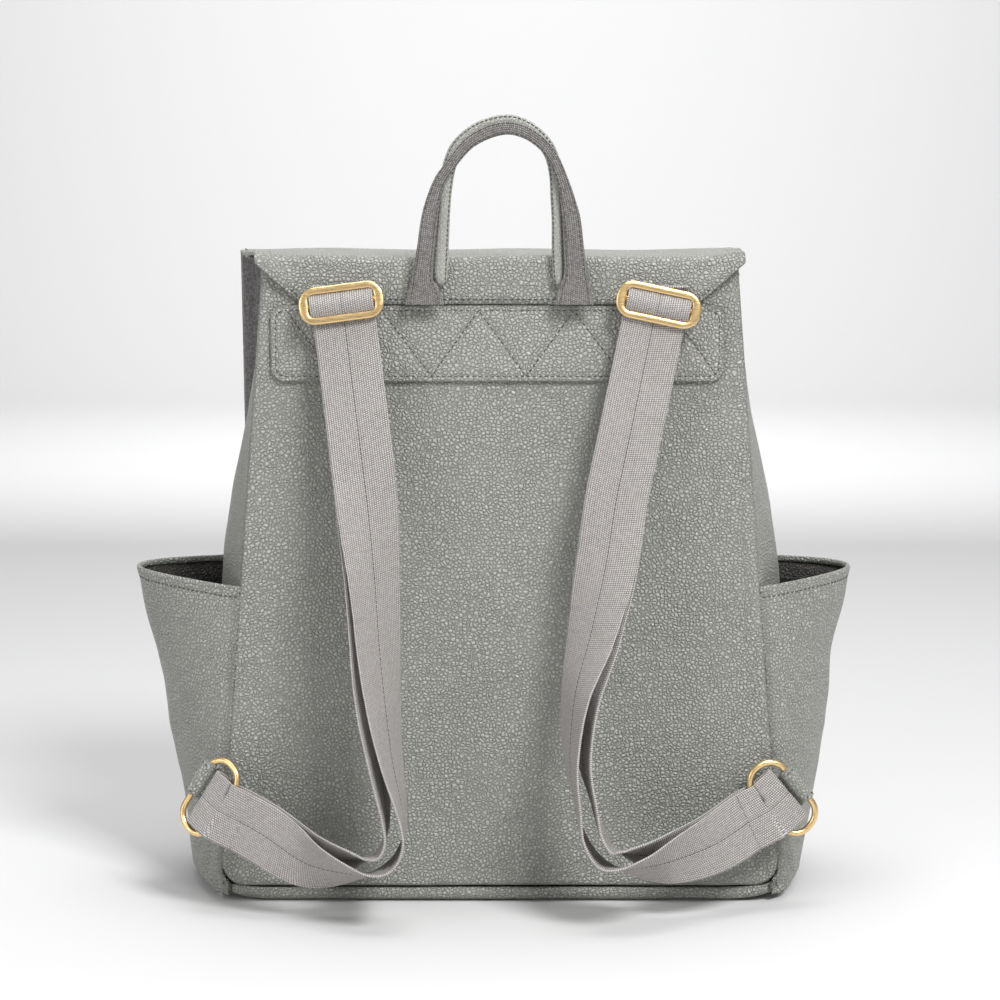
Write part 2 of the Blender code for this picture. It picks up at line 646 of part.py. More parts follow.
def build_slider(side):
    """One strap slider: its frame, its centre bar and the webbing over the bar."""
    basis = slider_basis(side)
    centre, width, up, face = basis
    axis = make_axis(side + "_slider_axis", centre)
    half = SLIDER_THICK / 2.0
    outer = (SLIDER_WIDTH / 2, SLIDER_HEIGHT / 2, SLIDER_HEIGHT / 2 - SLIDER_END_CUT)
    inner = (SLIDER_WINDOW_WIDTH / 2, SLIDER_WINDOW_HEIGHT / 2, SLIDER_WINDOW_CORNER)
    loops = [slider_loop(basis, *outer, -half), slider_loop(basis, *outer, half),
             slider_loop(basis, *inner, half), slider_loop(basis, *inner, -half)]
    rings = [list(points) for points in zip(*loops)]
    loft(side + "_slider_frame", rings, "brushed_gold", closed=True, axis=axis)
    bar_half = SLIDER_WINDOW_WIDTH / 2 - GAP
    rings = []
    for end in (-bar_half, bar_half):
        middle = centre + width * end
        rings.append([middle + up * SLIDER_BAR[0] * math.cos(a) + face * SLIDER_BAR[1] * math.sin(a)
                      for a in [2.0 * math.pi * k / 8 for k in range(8)]])
    loft(side + "_slider_bar", rings, "brushed_gold", axis=axis, smooth=True)
    build_slider_web(side, basis, axis)


def build_slider_web(side, basis, axis):
    """The bend of webbing that rises over a slider's centre bar."""
    centre, width, up, face = basis
    half_width_web = WEB_WIDTH / 2.0 - SLIDER_WEB_TRIM
    rings = []
    for along, rise in SLIDER_WEB_PATH:
        middle = centre + up * along + face * (rise + SLIDER_WEB_LIFT)
        w, t = width * half_width_web, face * SLIDER_WEB_HALF
        rings.append([middle - w - t, middle + w - t, middle + w + t, middle - w + t])
    loft(side + "_slider_webbing", rings, "strap_webbing", axis=axis)


def build_strap_anchor(side):
    """The stub of webbing that comes out of the yoke seam up to the slider."""
    centre, _ = SLIDERS[side]
    rings = []
    left, right = centre[0] - WEB_WIDTH / 2.0, centre[0] + WEB_WIDTH / 2.0
    near, far = STRAP_STUB_Y, STRAP_STUB_Y - WEB_THICK
    for z in STRAP_STUB_HEIGHTS:
        rings.append([(left, near, z), (right, near, z), (right, far, z), (left, far, z)])
    loft(side + "_strap_anchor", rings, "strap_webbing")


# ---------------------------------------------------------------- rings

def ring_basis(side):
    """Tab centre, bar direction, reach direction and facing direction of a side ring."""
    centre, bar, lean = RINGS[side][:3]
    bar = Vector(bar).normalized()
    sign = 1.0 if side == "left" else -1.0
    flat = Vector((sign * bar.z, 0.0, -sign * bar.x))
    turn = math.radians(lean)
    reach = flat * math.cos(turn) + Vector((0.0, -math.sin(turn), 0.0))
    face = reach.cross(bar).normalized()
    if face.y > 0.0:
        face = -face
    return Vector(centre), bar, reach, face


def build_ring(side):
    """One side ring, the leather tube that holds it and the webbing bent round it."""
    centre, bar, reach, face = ring_basis(side)
    (near_low, near_high), (far_low, far_high) = RINGS[side][3:]
    axis = make_axis(side + "_ring_axis", centre)
    corners = [(near_low, 0.0), (near_high, 0.0), (far_high, RING_DEPTH), (far_low, RING_DEPTH)]
    outline = round_corners(corners, [RING_CORNER] * 4, 4)
    path = [centre + bar * a + reach * b for a, b in outline]
    rings = []
    for i, point in enumerate(path):
        line = (path[(i + 1) % len(path)] - path[i - 1]).normalized()
        side_way = line.cross(face).normalized()
        rings.append([point + (side_way * math.cos(a) + face * math.sin(a)) * WIRE_RADIUS
                      for a in [2.0 * math.pi * k / 8 for k in range(8)]])
    loft(side + "_ring", rings, "brushed_gold", closed=True, axis=axis, smooth=True)
    build_ring_tab(side, centre, bar, reach, face)
    middle = centre + bar * (far_low + far_high) / 2.0 + reach * RING_DEPTH
    build_ring_web(side, middle, bar, reach, face, axis)


def build_ring_tab(side, centre, bar, reach, face):
    """The leather tube round the ring's inner bar."""
    bore, wall = WIRE_RADIUS + TAB_CLEAR, TAB_WALL
    turns = [2.0 * math.pi * k / 12 for k in range(12)]
    loops = []
    for radius, end in ((bore, -0.5), (bore + wall, -0.5), (bore + wall, 0.5), (bore, 0.5)):
        loops.append([centre + bar * TAB_LENGTH * end + (reach * math.cos(a) + face * math.sin(a)) * radius
                      for a in turns])
    loft(side + "_ring_tab", [list(points) for points in zip(*loops)], "pebbled_leather", closed=True,
         smooth=True)


def build_ring_web(side, middle, bar, reach, face, axis):
    """The bend of strap webbing that wraps the ring's outer bar."""
    inner = WIRE_RADIUS + RING_WEB_CLEAR
    outer, leg = inner + WEB_THICK, RING_WEB_LEG
    turns = [math.pi * k / 6 for k in range(7)]
    arc = [(-math.sin(a), math.cos(a)) for a in turns]
    profile = [(leg, outer)] + [(outer * b, outer * f) for b, f in arc] + [(leg, -outer)]
    profile += [(leg, -inner)] + [(inner * b, inner * f) for b, f in reversed(arc)] + [(leg, inner)]
    rings = []
    for end in (-0.5, 0.5):
        rings.append([middle + bar * WEB_WIDTH * end * RING_WEB_SHARE + reach * b + face * f for b, f in profile])
    loft(side + "_ring_webbing", rings, "strap_webbing", axis=axis)


# ---------------------------------------------------------------- handle

def handle_strip(name, stations, front, thick, finish, axis):
    """A flat strip that follows the handle's arch, with softened edges."""
    rings = []
    for i, (x, z, width) in enumerate(stations):
        before, after = stations[max(i - 1, 0)], stations[min(i + 1, len(stations) - 1)]
        line = Vector((after[0] - before[0], after[1] - before[1])).normalized()
        if i in (0, len(stations) - 1) and stations is HANDLE_WEB:
            line = Vector((0.0, 1.0 if i == 0 else -1.0))
        out = Vector((-line.y, line.x)) * (width / 2.0)
        section = ((1.0, 0.5), (0.78, 0.08), (-0.78, 0.08), (-1.0, 0.5), (-0.78, 0.92), (0.78, 0.92))
        rings.append([(x + out.x * a, front + thick * b, z + out.y * a) for a, b in section])
    loft(name, rings, finish, axis=axis)


def build_handle():
    """The grab handle: webbing with a padded leather strip behind it."""
    axis = make_axis("handle_axis", (0.0, HANDLE_FRONT_Y, YOKE_TOP + 2 * GAP))
    handle_strip("handle_webbing", HANDLE_WEB, HANDLE_FRONT_Y, HANDLE_WEB_THICK, "strap_webbing", axis)
    handle_strip("handle_leather", HANDLE_LEATHER, HANDLE_FRONT_Y + HANDLE_WEB_THICK + GAP,
                 HANDLE_LEATHER_THICK, "pebbled_leather", axis)


def main():
    """Build the whole bag."""
    clear_scene()
    build_back()
    build_front()
    build_sides()
    build_front_binding()
    build_base()
    build_yoke()
    build_flap_strip()
    flap_edge, flap_height = build_flap_top()
    build_flap_front(flap_edge, flap_height)
    build_pockets()
    build_straps()
    for side in ("left", "right"):
        build_slider(side)
        build_strap_anchor(side)
        build_ring(side)
    build_handle()


main()
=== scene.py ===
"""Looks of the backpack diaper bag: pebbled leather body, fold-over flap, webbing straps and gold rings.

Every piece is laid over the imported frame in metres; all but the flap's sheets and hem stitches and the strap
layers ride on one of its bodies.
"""

import enum
import logging
import math
from collections.abc import Callable, Sequence
from dataclasses import dataclass

import bmesh
import bpy
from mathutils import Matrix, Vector, noise


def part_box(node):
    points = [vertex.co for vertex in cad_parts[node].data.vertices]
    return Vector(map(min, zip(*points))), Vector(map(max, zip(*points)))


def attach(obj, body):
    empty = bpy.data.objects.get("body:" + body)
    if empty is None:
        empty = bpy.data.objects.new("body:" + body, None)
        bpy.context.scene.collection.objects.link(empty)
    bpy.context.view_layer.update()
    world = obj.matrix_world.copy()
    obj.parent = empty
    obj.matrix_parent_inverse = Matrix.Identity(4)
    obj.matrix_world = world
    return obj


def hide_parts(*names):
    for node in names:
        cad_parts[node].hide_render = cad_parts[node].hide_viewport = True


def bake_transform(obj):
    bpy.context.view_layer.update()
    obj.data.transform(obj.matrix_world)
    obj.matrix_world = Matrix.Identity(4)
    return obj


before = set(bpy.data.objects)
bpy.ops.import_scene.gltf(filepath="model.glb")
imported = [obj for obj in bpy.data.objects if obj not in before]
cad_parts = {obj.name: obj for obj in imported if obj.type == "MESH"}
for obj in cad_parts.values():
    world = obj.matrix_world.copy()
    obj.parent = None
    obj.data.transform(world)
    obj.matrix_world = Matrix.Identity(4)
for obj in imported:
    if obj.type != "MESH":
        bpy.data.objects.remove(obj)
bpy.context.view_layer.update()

LOG = logging.getLogger("diaper_bag")

Rgb = tuple[float, float, float]
Rows = list[list[Vector]]
Marks = list[list[float]]
Cloth = list[list[tuple[float, float]]]

OUT_BACK = Vector((0.0, -1.0, 0.0))   # the way the back panel faces
EDGE_STEPS = (0.0, 0.0003, 0.0008, 0.0016, 0.0027, 0.0042, 0.0062)
SEAM_SHADE_FADE = 0.0019                    # how far the darker tone of a seam reaches
CLOTH_MAP = "Cloth"
# the seam attribute says how much painted shade a point gets
SEAM_SHADE_MARK = "seam"


class Side(enum.Enum):
    """The bag's two sides as the wearer's back sees them."""

    LEFT = "left"
    RIGHT = "right"

    @property
    def sign(self) -> float:
        """Direction of this side along X."""
        return -1.0 if self is Side.LEFT else 1.0


class Body(enum.Enum):
    """Bodies of the frame that pieces ride on."""

    BAG = "bag"
    FLAP_TOP = "flap_top"
    FLAP_FRONT = "flap_front"
    HANDLE = "handle"


class Slot(enum.Enum):
    """Material slots of the record."""

    LEATHER = "body_leather"
    HANDLE_LEATHER = "handle_leather"
    WEBBING = "webbing"
    GOLD = "gold_hardware"
    LINING = "lining"
    FOAM = "foam"
    BOARD = "board"


# ---------------------------------------------------------------- shader nodes


class NodeDesk:
    """Adds and wires the nodes of one shader tree."""

    def __init__(self, tree: bpy.types.NodeTree) -> None:
        """Keep the tree that the nodes go into.

        Args:
            tree: a material's tree or a node group.
        """
        self.tree = tree

    def put(self, kind: str, inputs: dict[str | int, object] | None = None,
            **settings: object) -> bpy.types.Node:
        """Add a node, set its options and fill or link its inputs.

        Args:
            kind: the node's type name.
            inputs: socket name or index, and a value or the socket that feeds it.
            **settings: options of the node itself.

        Returns:
            The new node.
        """
        node = self.tree.nodes.new(kind)
        for name, value in settings.items():
            setattr(node, name, value)
        for name, value in (inputs or {}).items():
            if isinstance(value, bpy.types.NodeSocket):
                self.tree.links.new(value, node.inputs[name])
            else:
                node.inputs[name].default_value = value
        return node

    def math(self, operation: str, *values: object) -> bpy.types.NodeSocket:
        """Result of a Math node on the given values."""
        return self.put("ShaderNodeMath", dict(enumerate(values)), operation=operation).outputs[0]

    def vector(self, operation: str, *values: object) -> bpy.types.NodeSocket:
        """Result of a Vector Math node on the given vectors."""
        return self.put("ShaderNodeVectorMath", dict(enumerate(values)), operation=operation).outputs[0]

    def blend(self, share: object, first: object, second: object, mode: str = "MIX") -> bpy.types.NodeSocket:
        """Mix of two colours.

        Args:
            share: how much of the second colour shows.
            first: colour or socket.
            second: colour or socket.
            mode: blend mode of the Mix node.

        Returns:
            The mixed colour.
        """
        node = self.put("ShaderNodeMix", {0: share, 6: first, 7: second}, data_type="RGBA", blend_type=mode)
        return node.outputs[2]

    def remap(self, value: object, low: float, high: float, to_low: float = 0.0, to_high: float = 1.0,
              smooth: bool = True) -> bpy.types.NodeSocket:
        """A value moved from one range to another.

        Args:
            value: socket to move.
            low: start of its range.
            high: end of its range.
            to_low: result at the start.
            to_high: result at the end.
            smooth: whether it eases in and out.

        Returns:
            The moved value.
        """
        inputs = {"Value": value, "From Min": low, "From Max": high, "To Min": to_low, "To Max": to_high}
        kind = "SMOOTHSTEP" if smooth else "LINEAR"
        return self.put("ShaderNodeMapRange", inputs, interpolation_type=kind).outputs[0]

    def noise(self, place: object, scale: object, detail: float = 2.0) -> bpy.types.Node:
        """Add a noise texture at a place."""
        return self.put("ShaderNodeTexNoise", {"Vector": place, "Scale": scale, "Detail": detail})

    def group(self, effect: bpy.types.NodeTree, inputs: dict[str, object]) -> bpy.types.Node:
        """Place a shared effect in this tree with its own values."""
        node = self.tree.nodes.new("ShaderNodeGroup")
        node.node_tree = effect
        for name, value in inputs.items():
            if isinstance(value, bpy.types.NodeSocket):
                self.tree.links.new(value, node.inputs[name])
            else:
                node.inputs[name].default_value = value
        return node


class Kind(enum.Enum):
    """Socket types of an effect's inputs and outputs."""

    NUMBER = "NodeSocketFloat"
    COLOUR = "NodeSocketColor"
    VECTOR = "NodeSocketVector"


class Effect:
    """A shader node group that is built once and placed in several materials."""

    def __init__(self, name: str, inputs: dict[str, Kind], outputs: dict[str, Kind]) -> None:
        """Make the empty group with its sockets.

        Args:
            name: the group's name.
            inputs: names and types of what goes in.
            outputs: names and types of what comes out.
        """
        self.tree = bpy.data.node_groups.new(name, "ShaderNodeTree")
        for label, kind in inputs.items():
            self.tree.interface.new_socket(label, in_out="INPUT", socket_type=kind.value)
        for label, kind in outputs.items():
            self.tree.interface.new_socket(label, in_out="OUTPUT", socket_type=kind.value)
        self.given = self.tree.nodes.new("NodeGroupInput").outputs
        self.result = self.tree.nodes.new("NodeGroupOutput").inputs
        self.desk = NodeDesk(self.tree)

    def give(self, **sockets: bpy.types.NodeSocket) -> bpy.types.NodeTree:
        """Link the results to the group's outputs and return the finished group."""
        for name, socket in sockets.items():
            self.tree.links.new(socket, self.result[name])
        return self.tree


def make_pebble_effect() -> bpy.types.NodeTree:
    """Pebbled leather: plump cells of uneven size with fine creases between them, the creases painted darker as
    shade.

    Returns:
        A group that gives the colour, the height and how much a point stands up.
    """
    effect = Effect("Pebble Grain",
                    {"Place": Kind.VECTOR, "Pebble": Kind.NUMBER, "Colour": Kind.COLOUR,
                     "Crease Shade": Kind.COLOUR},
                    {"Colour": Kind.COLOUR, "Height": Kind.NUMBER, "Crown": Kind.NUMBER})
    desk, given = effect.desk, effect.given
    per_metre = desk.math("DIVIDE", 1.0, given["Pebble"])
    sway = desk.noise(given["Place"], desk.math("MULTIPLY", per_metre, 0.45), 1.0).outputs["Color"]
    shift = desk.vector("SUBTRACT", sway, (0.5, 0.5, 0.5))
    amount = desk.math("MULTIPLY", given["Pebble"], 0.75)
    shift = desk.put("ShaderNodeVectorMath", {0: shift, "Scale": amount}, operation="SCALE").outputs[0]
    place = desk.vector("ADD", given["Place"], shift)
    cells = {"Vector": place, "Scale": per_metre, "Randomness": 0.95}
    border = desk.put("ShaderNodeTexVoronoi", cells, feature="DISTANCE_TO_EDGE").outputs["Distance"]
    tint = desk.put("ShaderNodeTexVoronoi", cells, feature="F1").outputs["Color"]
    fine_cells = {"Vector": place, "Scale": desk.math("MULTIPLY", per_metre, 2.4)}
    fine = desk.put("ShaderNodeTexVoronoi", fine_cells, feature="DISTANCE_TO_EDGE").outputs["Distance"]
    plump = desk.math("POWER", desk.remap(border, 0.0, 0.42, smooth=False), 0.62)
    wrinkle = desk.remap(fine, 0.0, 0.25)
    height = desk.math("ADD", desk.math("MULTIPLY", plump, 0.86), desk.math("MULTIPLY", wrinkle, 0.14))
    patch = desk.remap(desk.noise(given["Place"], 30.0, 2.0).outputs[0], 0.3, 0.7, 0.55, 1.0)
    height = desk.math("MULTIPLY", height, patch)
    tone = desk.remap(desk.put("ShaderNodeSeparateColor", {0: tint}).outputs[0], 0.0, 1.0, 0.0, 0.03)
    crown = desk.remap(height, 0.08, 0.66)
    # painted shade: the colour darkens from the crowns down into the creases
    colour = desk.blend(crown, given["Crease Shade"], given["Colour"])
    colour = desk.blend(tone, colour, (1.0, 1.0, 1.0, 1.0))
    return effect.give(Colour=colour, Height=height, Crown=crown)


def make_weave_effect() -> bpy.types.NodeTree:
    """Woven yarns on a flat cloth map in metres, plain or stepped into a twill.

    Returns:
        A group that gives the colour and the height of the yarns.
    """
    effect = Effect("Woven Yarn",
                    {"Place": Kind.VECTOR, "Warp": Kind.NUMBER, "Weft": Kind.NUMBER, "Step": Kind.NUMBER,
                     "Colour": Kind.COLOUR, "Shadow": Kind.COLOUR},
                    {"Colour": Kind.COLOUR, "Height": Kind.NUMBER})
    desk, given = effect.desk, effect.given
    parts = desk.put("ShaderNodeSeparateXYZ", {0: given["Place"]}).outputs
    across = desk.math("DIVIDE", parts[0], given["Warp"])
    column = desk.math("FLOOR", across)
    along = desk.math("ADD", desk.math("DIVIDE", parts[1], given["Weft"]),
                      desk.math("MULTIPLY", column, given["Step"]))
    rib = desk.math("ABSOLUTE", desk.math("SINE", desk.math("MULTIPLY", across, math.pi)))
    pick = desk.math("ABSOLUTE", desk.math("SINE", desk.math("MULTIPLY", along, math.pi)))
    rib = desk.math("POWER", rib, 0.5)
    pick = desk.remap(pick, 0.0, 0.8, 0.25, 1.0)
    height = desk.math("MULTIPLY", rib, pick)
    place = desk.put("ShaderNodeCombineXYZ", {0: column, 1: desk.math("FLOOR", along), 2: 0.0}).outputs[0]
    yarn = desk.put("ShaderNodeTexWhiteNoise", {"Vector": place}, noise_dimensions="2D").outputs["Value"]
    colour = desk.blend(desk.remap(height, 0.10, 0.85), given["Shadow"], given["Colour"])
    colour = desk.blend(desk.math("MULTIPLY", yarn, 0.16), colour, (1.0, 1.0, 1.0, 1.0))
    return effect.give(Colour=colour, Height=height)


def make_mottle_effect() -> bpy.types.NodeTree:
    """Slow, uneven lightening and darkening, from handling and dust.

    Returns:
        A group that gives the changed colour and the cloud it came from.
    """
    effect = Effect("Mottle", {"Place": Kind.VECTOR, "Scale": Kind.NUMBER, "Amount": Kind.NUMBER,
                               "Colour": Kind.COLOUR, "Dust": Kind.COLOUR},
                    {"Colour": Kind.COLOUR, "Cloud": Kind.NUMBER})
    desk, given = effect.desk, effect.given
    cloud = desk.remap(desk.noise(given["Place"], given["Scale"], 4.0).outputs[0], 0.32, 0.68)
    share = desk.math("MULTIPLY", cloud, given["Amount"])
    return effect.give(Colour=desk.blend(share, given["Colour"], given["Dust"]), Cloud=cloud)


def make_seam_shade_effect() -> bpy.types.NodeTree:
    """Painted shade: darker colour in the ditch of a seam and in other hollows that the mask marks.

    Returns:
        A group that gives the changed colour.
    """
    effect = Effect("Seam Tone", {"Mask": Kind.NUMBER, "Colour": Kind.COLOUR, "Painted Shade": Kind.COLOUR},
                    {"Colour": Kind.COLOUR})
    desk, given = effect.desk, effect.given
    # painted shade grows with the mask
    share = desk.remap(given["Mask"], 0.25, 1.0, 0.0, 0.7)
    return effect.give(Colour=desk.blend(share, given["Colour"], given["Painted Shade"]))


def make_brush_effect() -> bpy.types.NodeTree:
    """Fine brushed lines and small scuffs of plated metal.

    Returns:
        A group that gives the colour, the roughness and the height.
    """
    effect = Effect("Brushed Plate", {"Place": Kind.VECTOR, "Colour": Kind.COLOUR, "Scuff": Kind.COLOUR},
                    {"Colour": Kind.COLOUR, "Roughness": Kind.NUMBER, "Height": Kind.NUMBER})
    desk, given = effect.desk, effect.given
    stretched = desk.vector("MULTIPLY", given["Place"], (120.0, 900.0, 2600.0))
    lines = desk.noise(stretched, 1.0, 2.0).outputs[0]
    scuffs = desk.remap(desk.noise(given["Place"], 420.0, 3.0).outputs[0], 0.58, 0.70)
    rough = desk.math("ADD", desk.remap(lines, 0.3, 0.7, 0.26, 0.38), desk.math("MULTIPLY", scuffs, 0.16))
    colour = desk.blend(desk.math("MULTIPLY", scuffs, 0.35), given["Colour"], given["Scuff"])
    return effect.give(Colour=colour, Roughness=rough, Height=lines)


class Effects:
    """The shared shader effects, each made once."""

    def __init__(self) -> None:
        """Build every group."""
        self.pebble = make_pebble_effect()
        self.weave = make_weave_effect()
        self.mottle = make_mottle_effect()
        self.seam = make_seam_shade_effect()
        self.brush = make_brush_effect()


def rgba(colour: Rgb) -> tuple[float, float, float, float]:
    """An opaque colour for a node socket."""
    return (*colour, 1.0)


def blank_material(name: str) -> tuple[bpy.types.Material, NodeDesk, bpy.types.Node]:
    """Start a material.

    Args:
        name: the material's name.

    Returns:
        The material, a desk for its nodes and its Principled shader.
    """
    material = bpy.data.materials.new(name)
    material.use_nodes = True
    return material, NodeDesk(material.node_tree), material.node_tree.nodes["Principled BSDF"]


def finish_surface(desk: NodeDesk, shader: bpy.types.Node, colour: object, height: object, depth: float,
                   strength: float = 1.0) -> None:
    """Wire a colour and a bumped height into a shader.

    Args:
        desk: the material's desk.
        shader: its Principled shader.
        colour: colour socket.
        height: height socket.
        depth: real height of the bumps in metres.
        strength: strength of the Bump node.
    """
    bump = desk.put("ShaderNodeBump", {"Height": height, "Distance": depth, "Strength": strength})
    desk.tree.links.new(colour, shader.inputs["Base Color"])
    desk.tree.links.new(bump.outputs[0], shader.inputs["Normal"])


@dataclass(frozen=True)
class LeatherFinish:
    """Pebbled faux leather."""

    name: str
    colour: Rgb
    # crease: painted shade colour of the creases, also used for the painted shade along seams
    crease: Rgb
    dust: Rgb
    pebble: float = 0.0023
    depth: float = 0.0021
    roughness: tuple[float, float] = (0.55, 0.26)

    def make(self, effects: Effects) -> bpy.types.Material:
        """The leather's material.

        Args:
            effects: the shared shader effects.

        Returns:
            The material.
        """
        material, desk, shader = blank_material(self.name)
        place = desk.put("ShaderNodeTexCoord").outputs["Object"]
        grain = desk.group(effects.pebble, {"Place": place, "Pebble": self.pebble, "Colour": rgba(self.colour),
                                            "Crease Shade": rgba(self.crease)})
        mottle = desk.group(effects.mottle, {"Place": place, "Scale": 16.0, "Amount": 0.10,
                                             "Colour": grain.outputs["Colour"], "Dust": rgba(self.dust)})
        # the seam mark drives painted shade along seams and in hollows
        mark = desk.put("ShaderNodeAttribute", attribute_name=SEAM_SHADE_MARK).outputs["Fac"]
        seam = desk.group(effects.seam, {"Mask": mark, "Colour": mottle.outputs["Colour"],
                                         "Painted Shade": rgba(self.crease)})
        finish_surface(desk, shader, seam.outputs["Colour"], grain.outputs["Height"], self.depth)
        gloss = desk.remap(grain.outputs["Crown"], 0.0, 1.0, *self.roughness)
        desk.tree.links.new(gloss, shader.inputs["Roughness"])
        shader.inputs["Specular IOR Level"].default_value = 0.5
        return material


@dataclass(frozen=True)
class WebbingFinish:
    """Polyester webbing: one half woven plain, the other stepped like a twill."""

    name: str
    colour: Rgb
    shadow: Rgb
    dust: Rgb
    warp: float = 0.00140
    weft: float = 0.00130

    def make(self, effects: Effects) -> bpy.types.Material:
        """The webbing's material.

        Args:
            effects: the shared shader effects.

        Returns:
            The material.
        """
        material, desk, shader = blank_material(self.name)
        cloth = desk.put("ShaderNodeUVMap", uv_map=CLOTH_MAP).outputs[0]
        yarn = {"Place": cloth, "Warp": self.warp, "Weft": self.weft, "Colour": rgba(self.colour),
                "Shadow": rgba(self.shadow)}
        plain = desk.group(effects.weave, {**yarn, "Step": 0.5})
        twill = desk.group(effects.weave, {**yarn, "Step": 0.25})
        across = desk.put("ShaderNodeSeparateXYZ", {0: cloth}).outputs[0]
        half = desk.math("GREATER_THAN", across, 0.0)
        colour = desk.blend(half, plain.outputs["Colour"], twill.outputs["Colour"])
        height = desk.put("ShaderNodeMix", {0: half, 2: plain.outputs["Height"], 3: twill.outputs["Height"]},
                          data_type="FLOAT").outputs[0]
        place = desk.put("ShaderNodeTexCoord").outputs["Object"]
        mottle = desk.group(effects.mottle, {"Place": place, "Scale": 30.0, "Amount": 0.12, "Colour": colour,
                                             "Dust": rgba(self.dust)})
        # the seam mark drives painted shade in the webbing's groove and at its edges
        mark = desk.put("ShaderNodeAttribute", attribute_name=SEAM_SHADE_MARK).outputs["Fac"]
        seam = desk.group(effects.seam, {"Mask": mark, "Colour": mottle.outputs["Colour"],
                                         "Painted Shade": rgba(self.shadow)})
        finish_surface(desk, shader, seam.outputs["Colour"], height, 0.0009)
        shader.inputs["Roughness"].default_value = 0.55
        shader.inputs["Sheen Weight"].default_value = 0.10
        shader.inputs["Sheen Roughness"].default_value = 0.4
        return material


@dataclass(frozen=True)
class LiningFinish:
    """Twill lining cloth, patterned in the object's own space."""

    name: str
    colour: Rgb
    shadow: Rgb
    dust: Rgb
    yarn: float = 0.0011

    def make(self, effects: Effects) -> bpy.types.Material:
        """The lining's material.

        Args:
            effects: the shared shader effects.

        Returns:
            The material.
        """
        material, desk, shader = blank_material(self.name)
        place = desk.put("ShaderNodeTexCoord").outputs["Object"]
        parts = desk.put("ShaderNodeSeparateXYZ", {0: place}).outputs
        flat = desk.put("ShaderNodeCombineXYZ", {0: desk.math("ADD", parts[0], parts[1]),
                                                 1: desk.math("ADD", parts[2], parts[1]), 2: 0.0}).outputs[0]
        weave = desk.group(effects.weave, {"Place": flat, "Warp": self.yarn, "Weft": self.yarn, "Step": 0.33,
                                           "Colour": rgba(self.colour), "Shadow": rgba(self.shadow)})
        mottle = desk.group(effects.mottle, {"Place": place, "Scale": 22.0, "Amount": 0.12,
                                             "Colour": weave.outputs["Colour"], "Dust": rgba(self.dust)})
        finish_surface(desk, shader, mottle.outputs["Colour"], weave.outputs["Height"], 0.0002)
        shader.inputs["Roughness"].default_value = 0.8
        shader.inputs["Sheen Weight"].default_value = 0.15
        return material


@dataclass(frozen=True)
class MetalFinish:
    """Pale plated metal with brushed lines."""

    name: str
    colour: Rgb
    scuff: Rgb

    def make(self, effects: Effects) -> bpy.types.Material:
        """The metal's material.

        Args:
            effects: the shared shader effects.

        Returns:
            The material.
        """
        material, desk, shader = blank_material(self.name)
        place = desk.put("ShaderNodeTexCoord").outputs["Object"]
        brush = desk.group(effects.brush, {"Place": place, "Colour": rgba(self.colour),
                                           "Scuff": rgba(self.scuff)})
        finish_surface(desk, shader, brush.outputs["Colour"], brush.outputs["Height"], 0.00002, 0.6)
        desk.tree.links.new(brush.outputs["Roughness"], shader.inputs["Roughness"])
        shader.inputs["Metallic"].default_value = 1.0
        return material


@dataclass(frozen=True)
class PorousFinish:
    """Matt cellular or fibrous filler: foam, fibre board and sewing thread."""

    name: str
    colour: Rgb
    # painted shade colour in the pits, also the dust colour of the mottle
    pit_shade_and_dust: Rgb
    cell: float
    depth: float
    roughness: float = 0.9

    def make(self, effects: Effects) -> bpy.types.Material:
        """The filler's material.

        Args:
            effects: the shared shader effects.

        Returns:
            The material.
        """
        material, desk, shader = blank_material(self.name)
        place = desk.put("ShaderNodeTexCoord").outputs["Object"]
        grain = desk.group(effects.pebble, {"Place": place, "Pebble": self.cell, "Colour": rgba(self.colour),
                                            "Crease Shade": rgba(self.pit_shade_and_dust)})
        mottle = desk.group(effects.mottle, {"Place": place, "Scale": 40.0, "Amount": 0.15,
                                             "Colour": grain.outputs["Colour"], "Dust": rgba(self.pit_shade_and_dust)})
        finish_surface(desk, shader, mottle.outputs["Colour"], grain.outputs["Height"], self.depth)
        shader.inputs["Roughness"].default_value = self.roughness
        return material


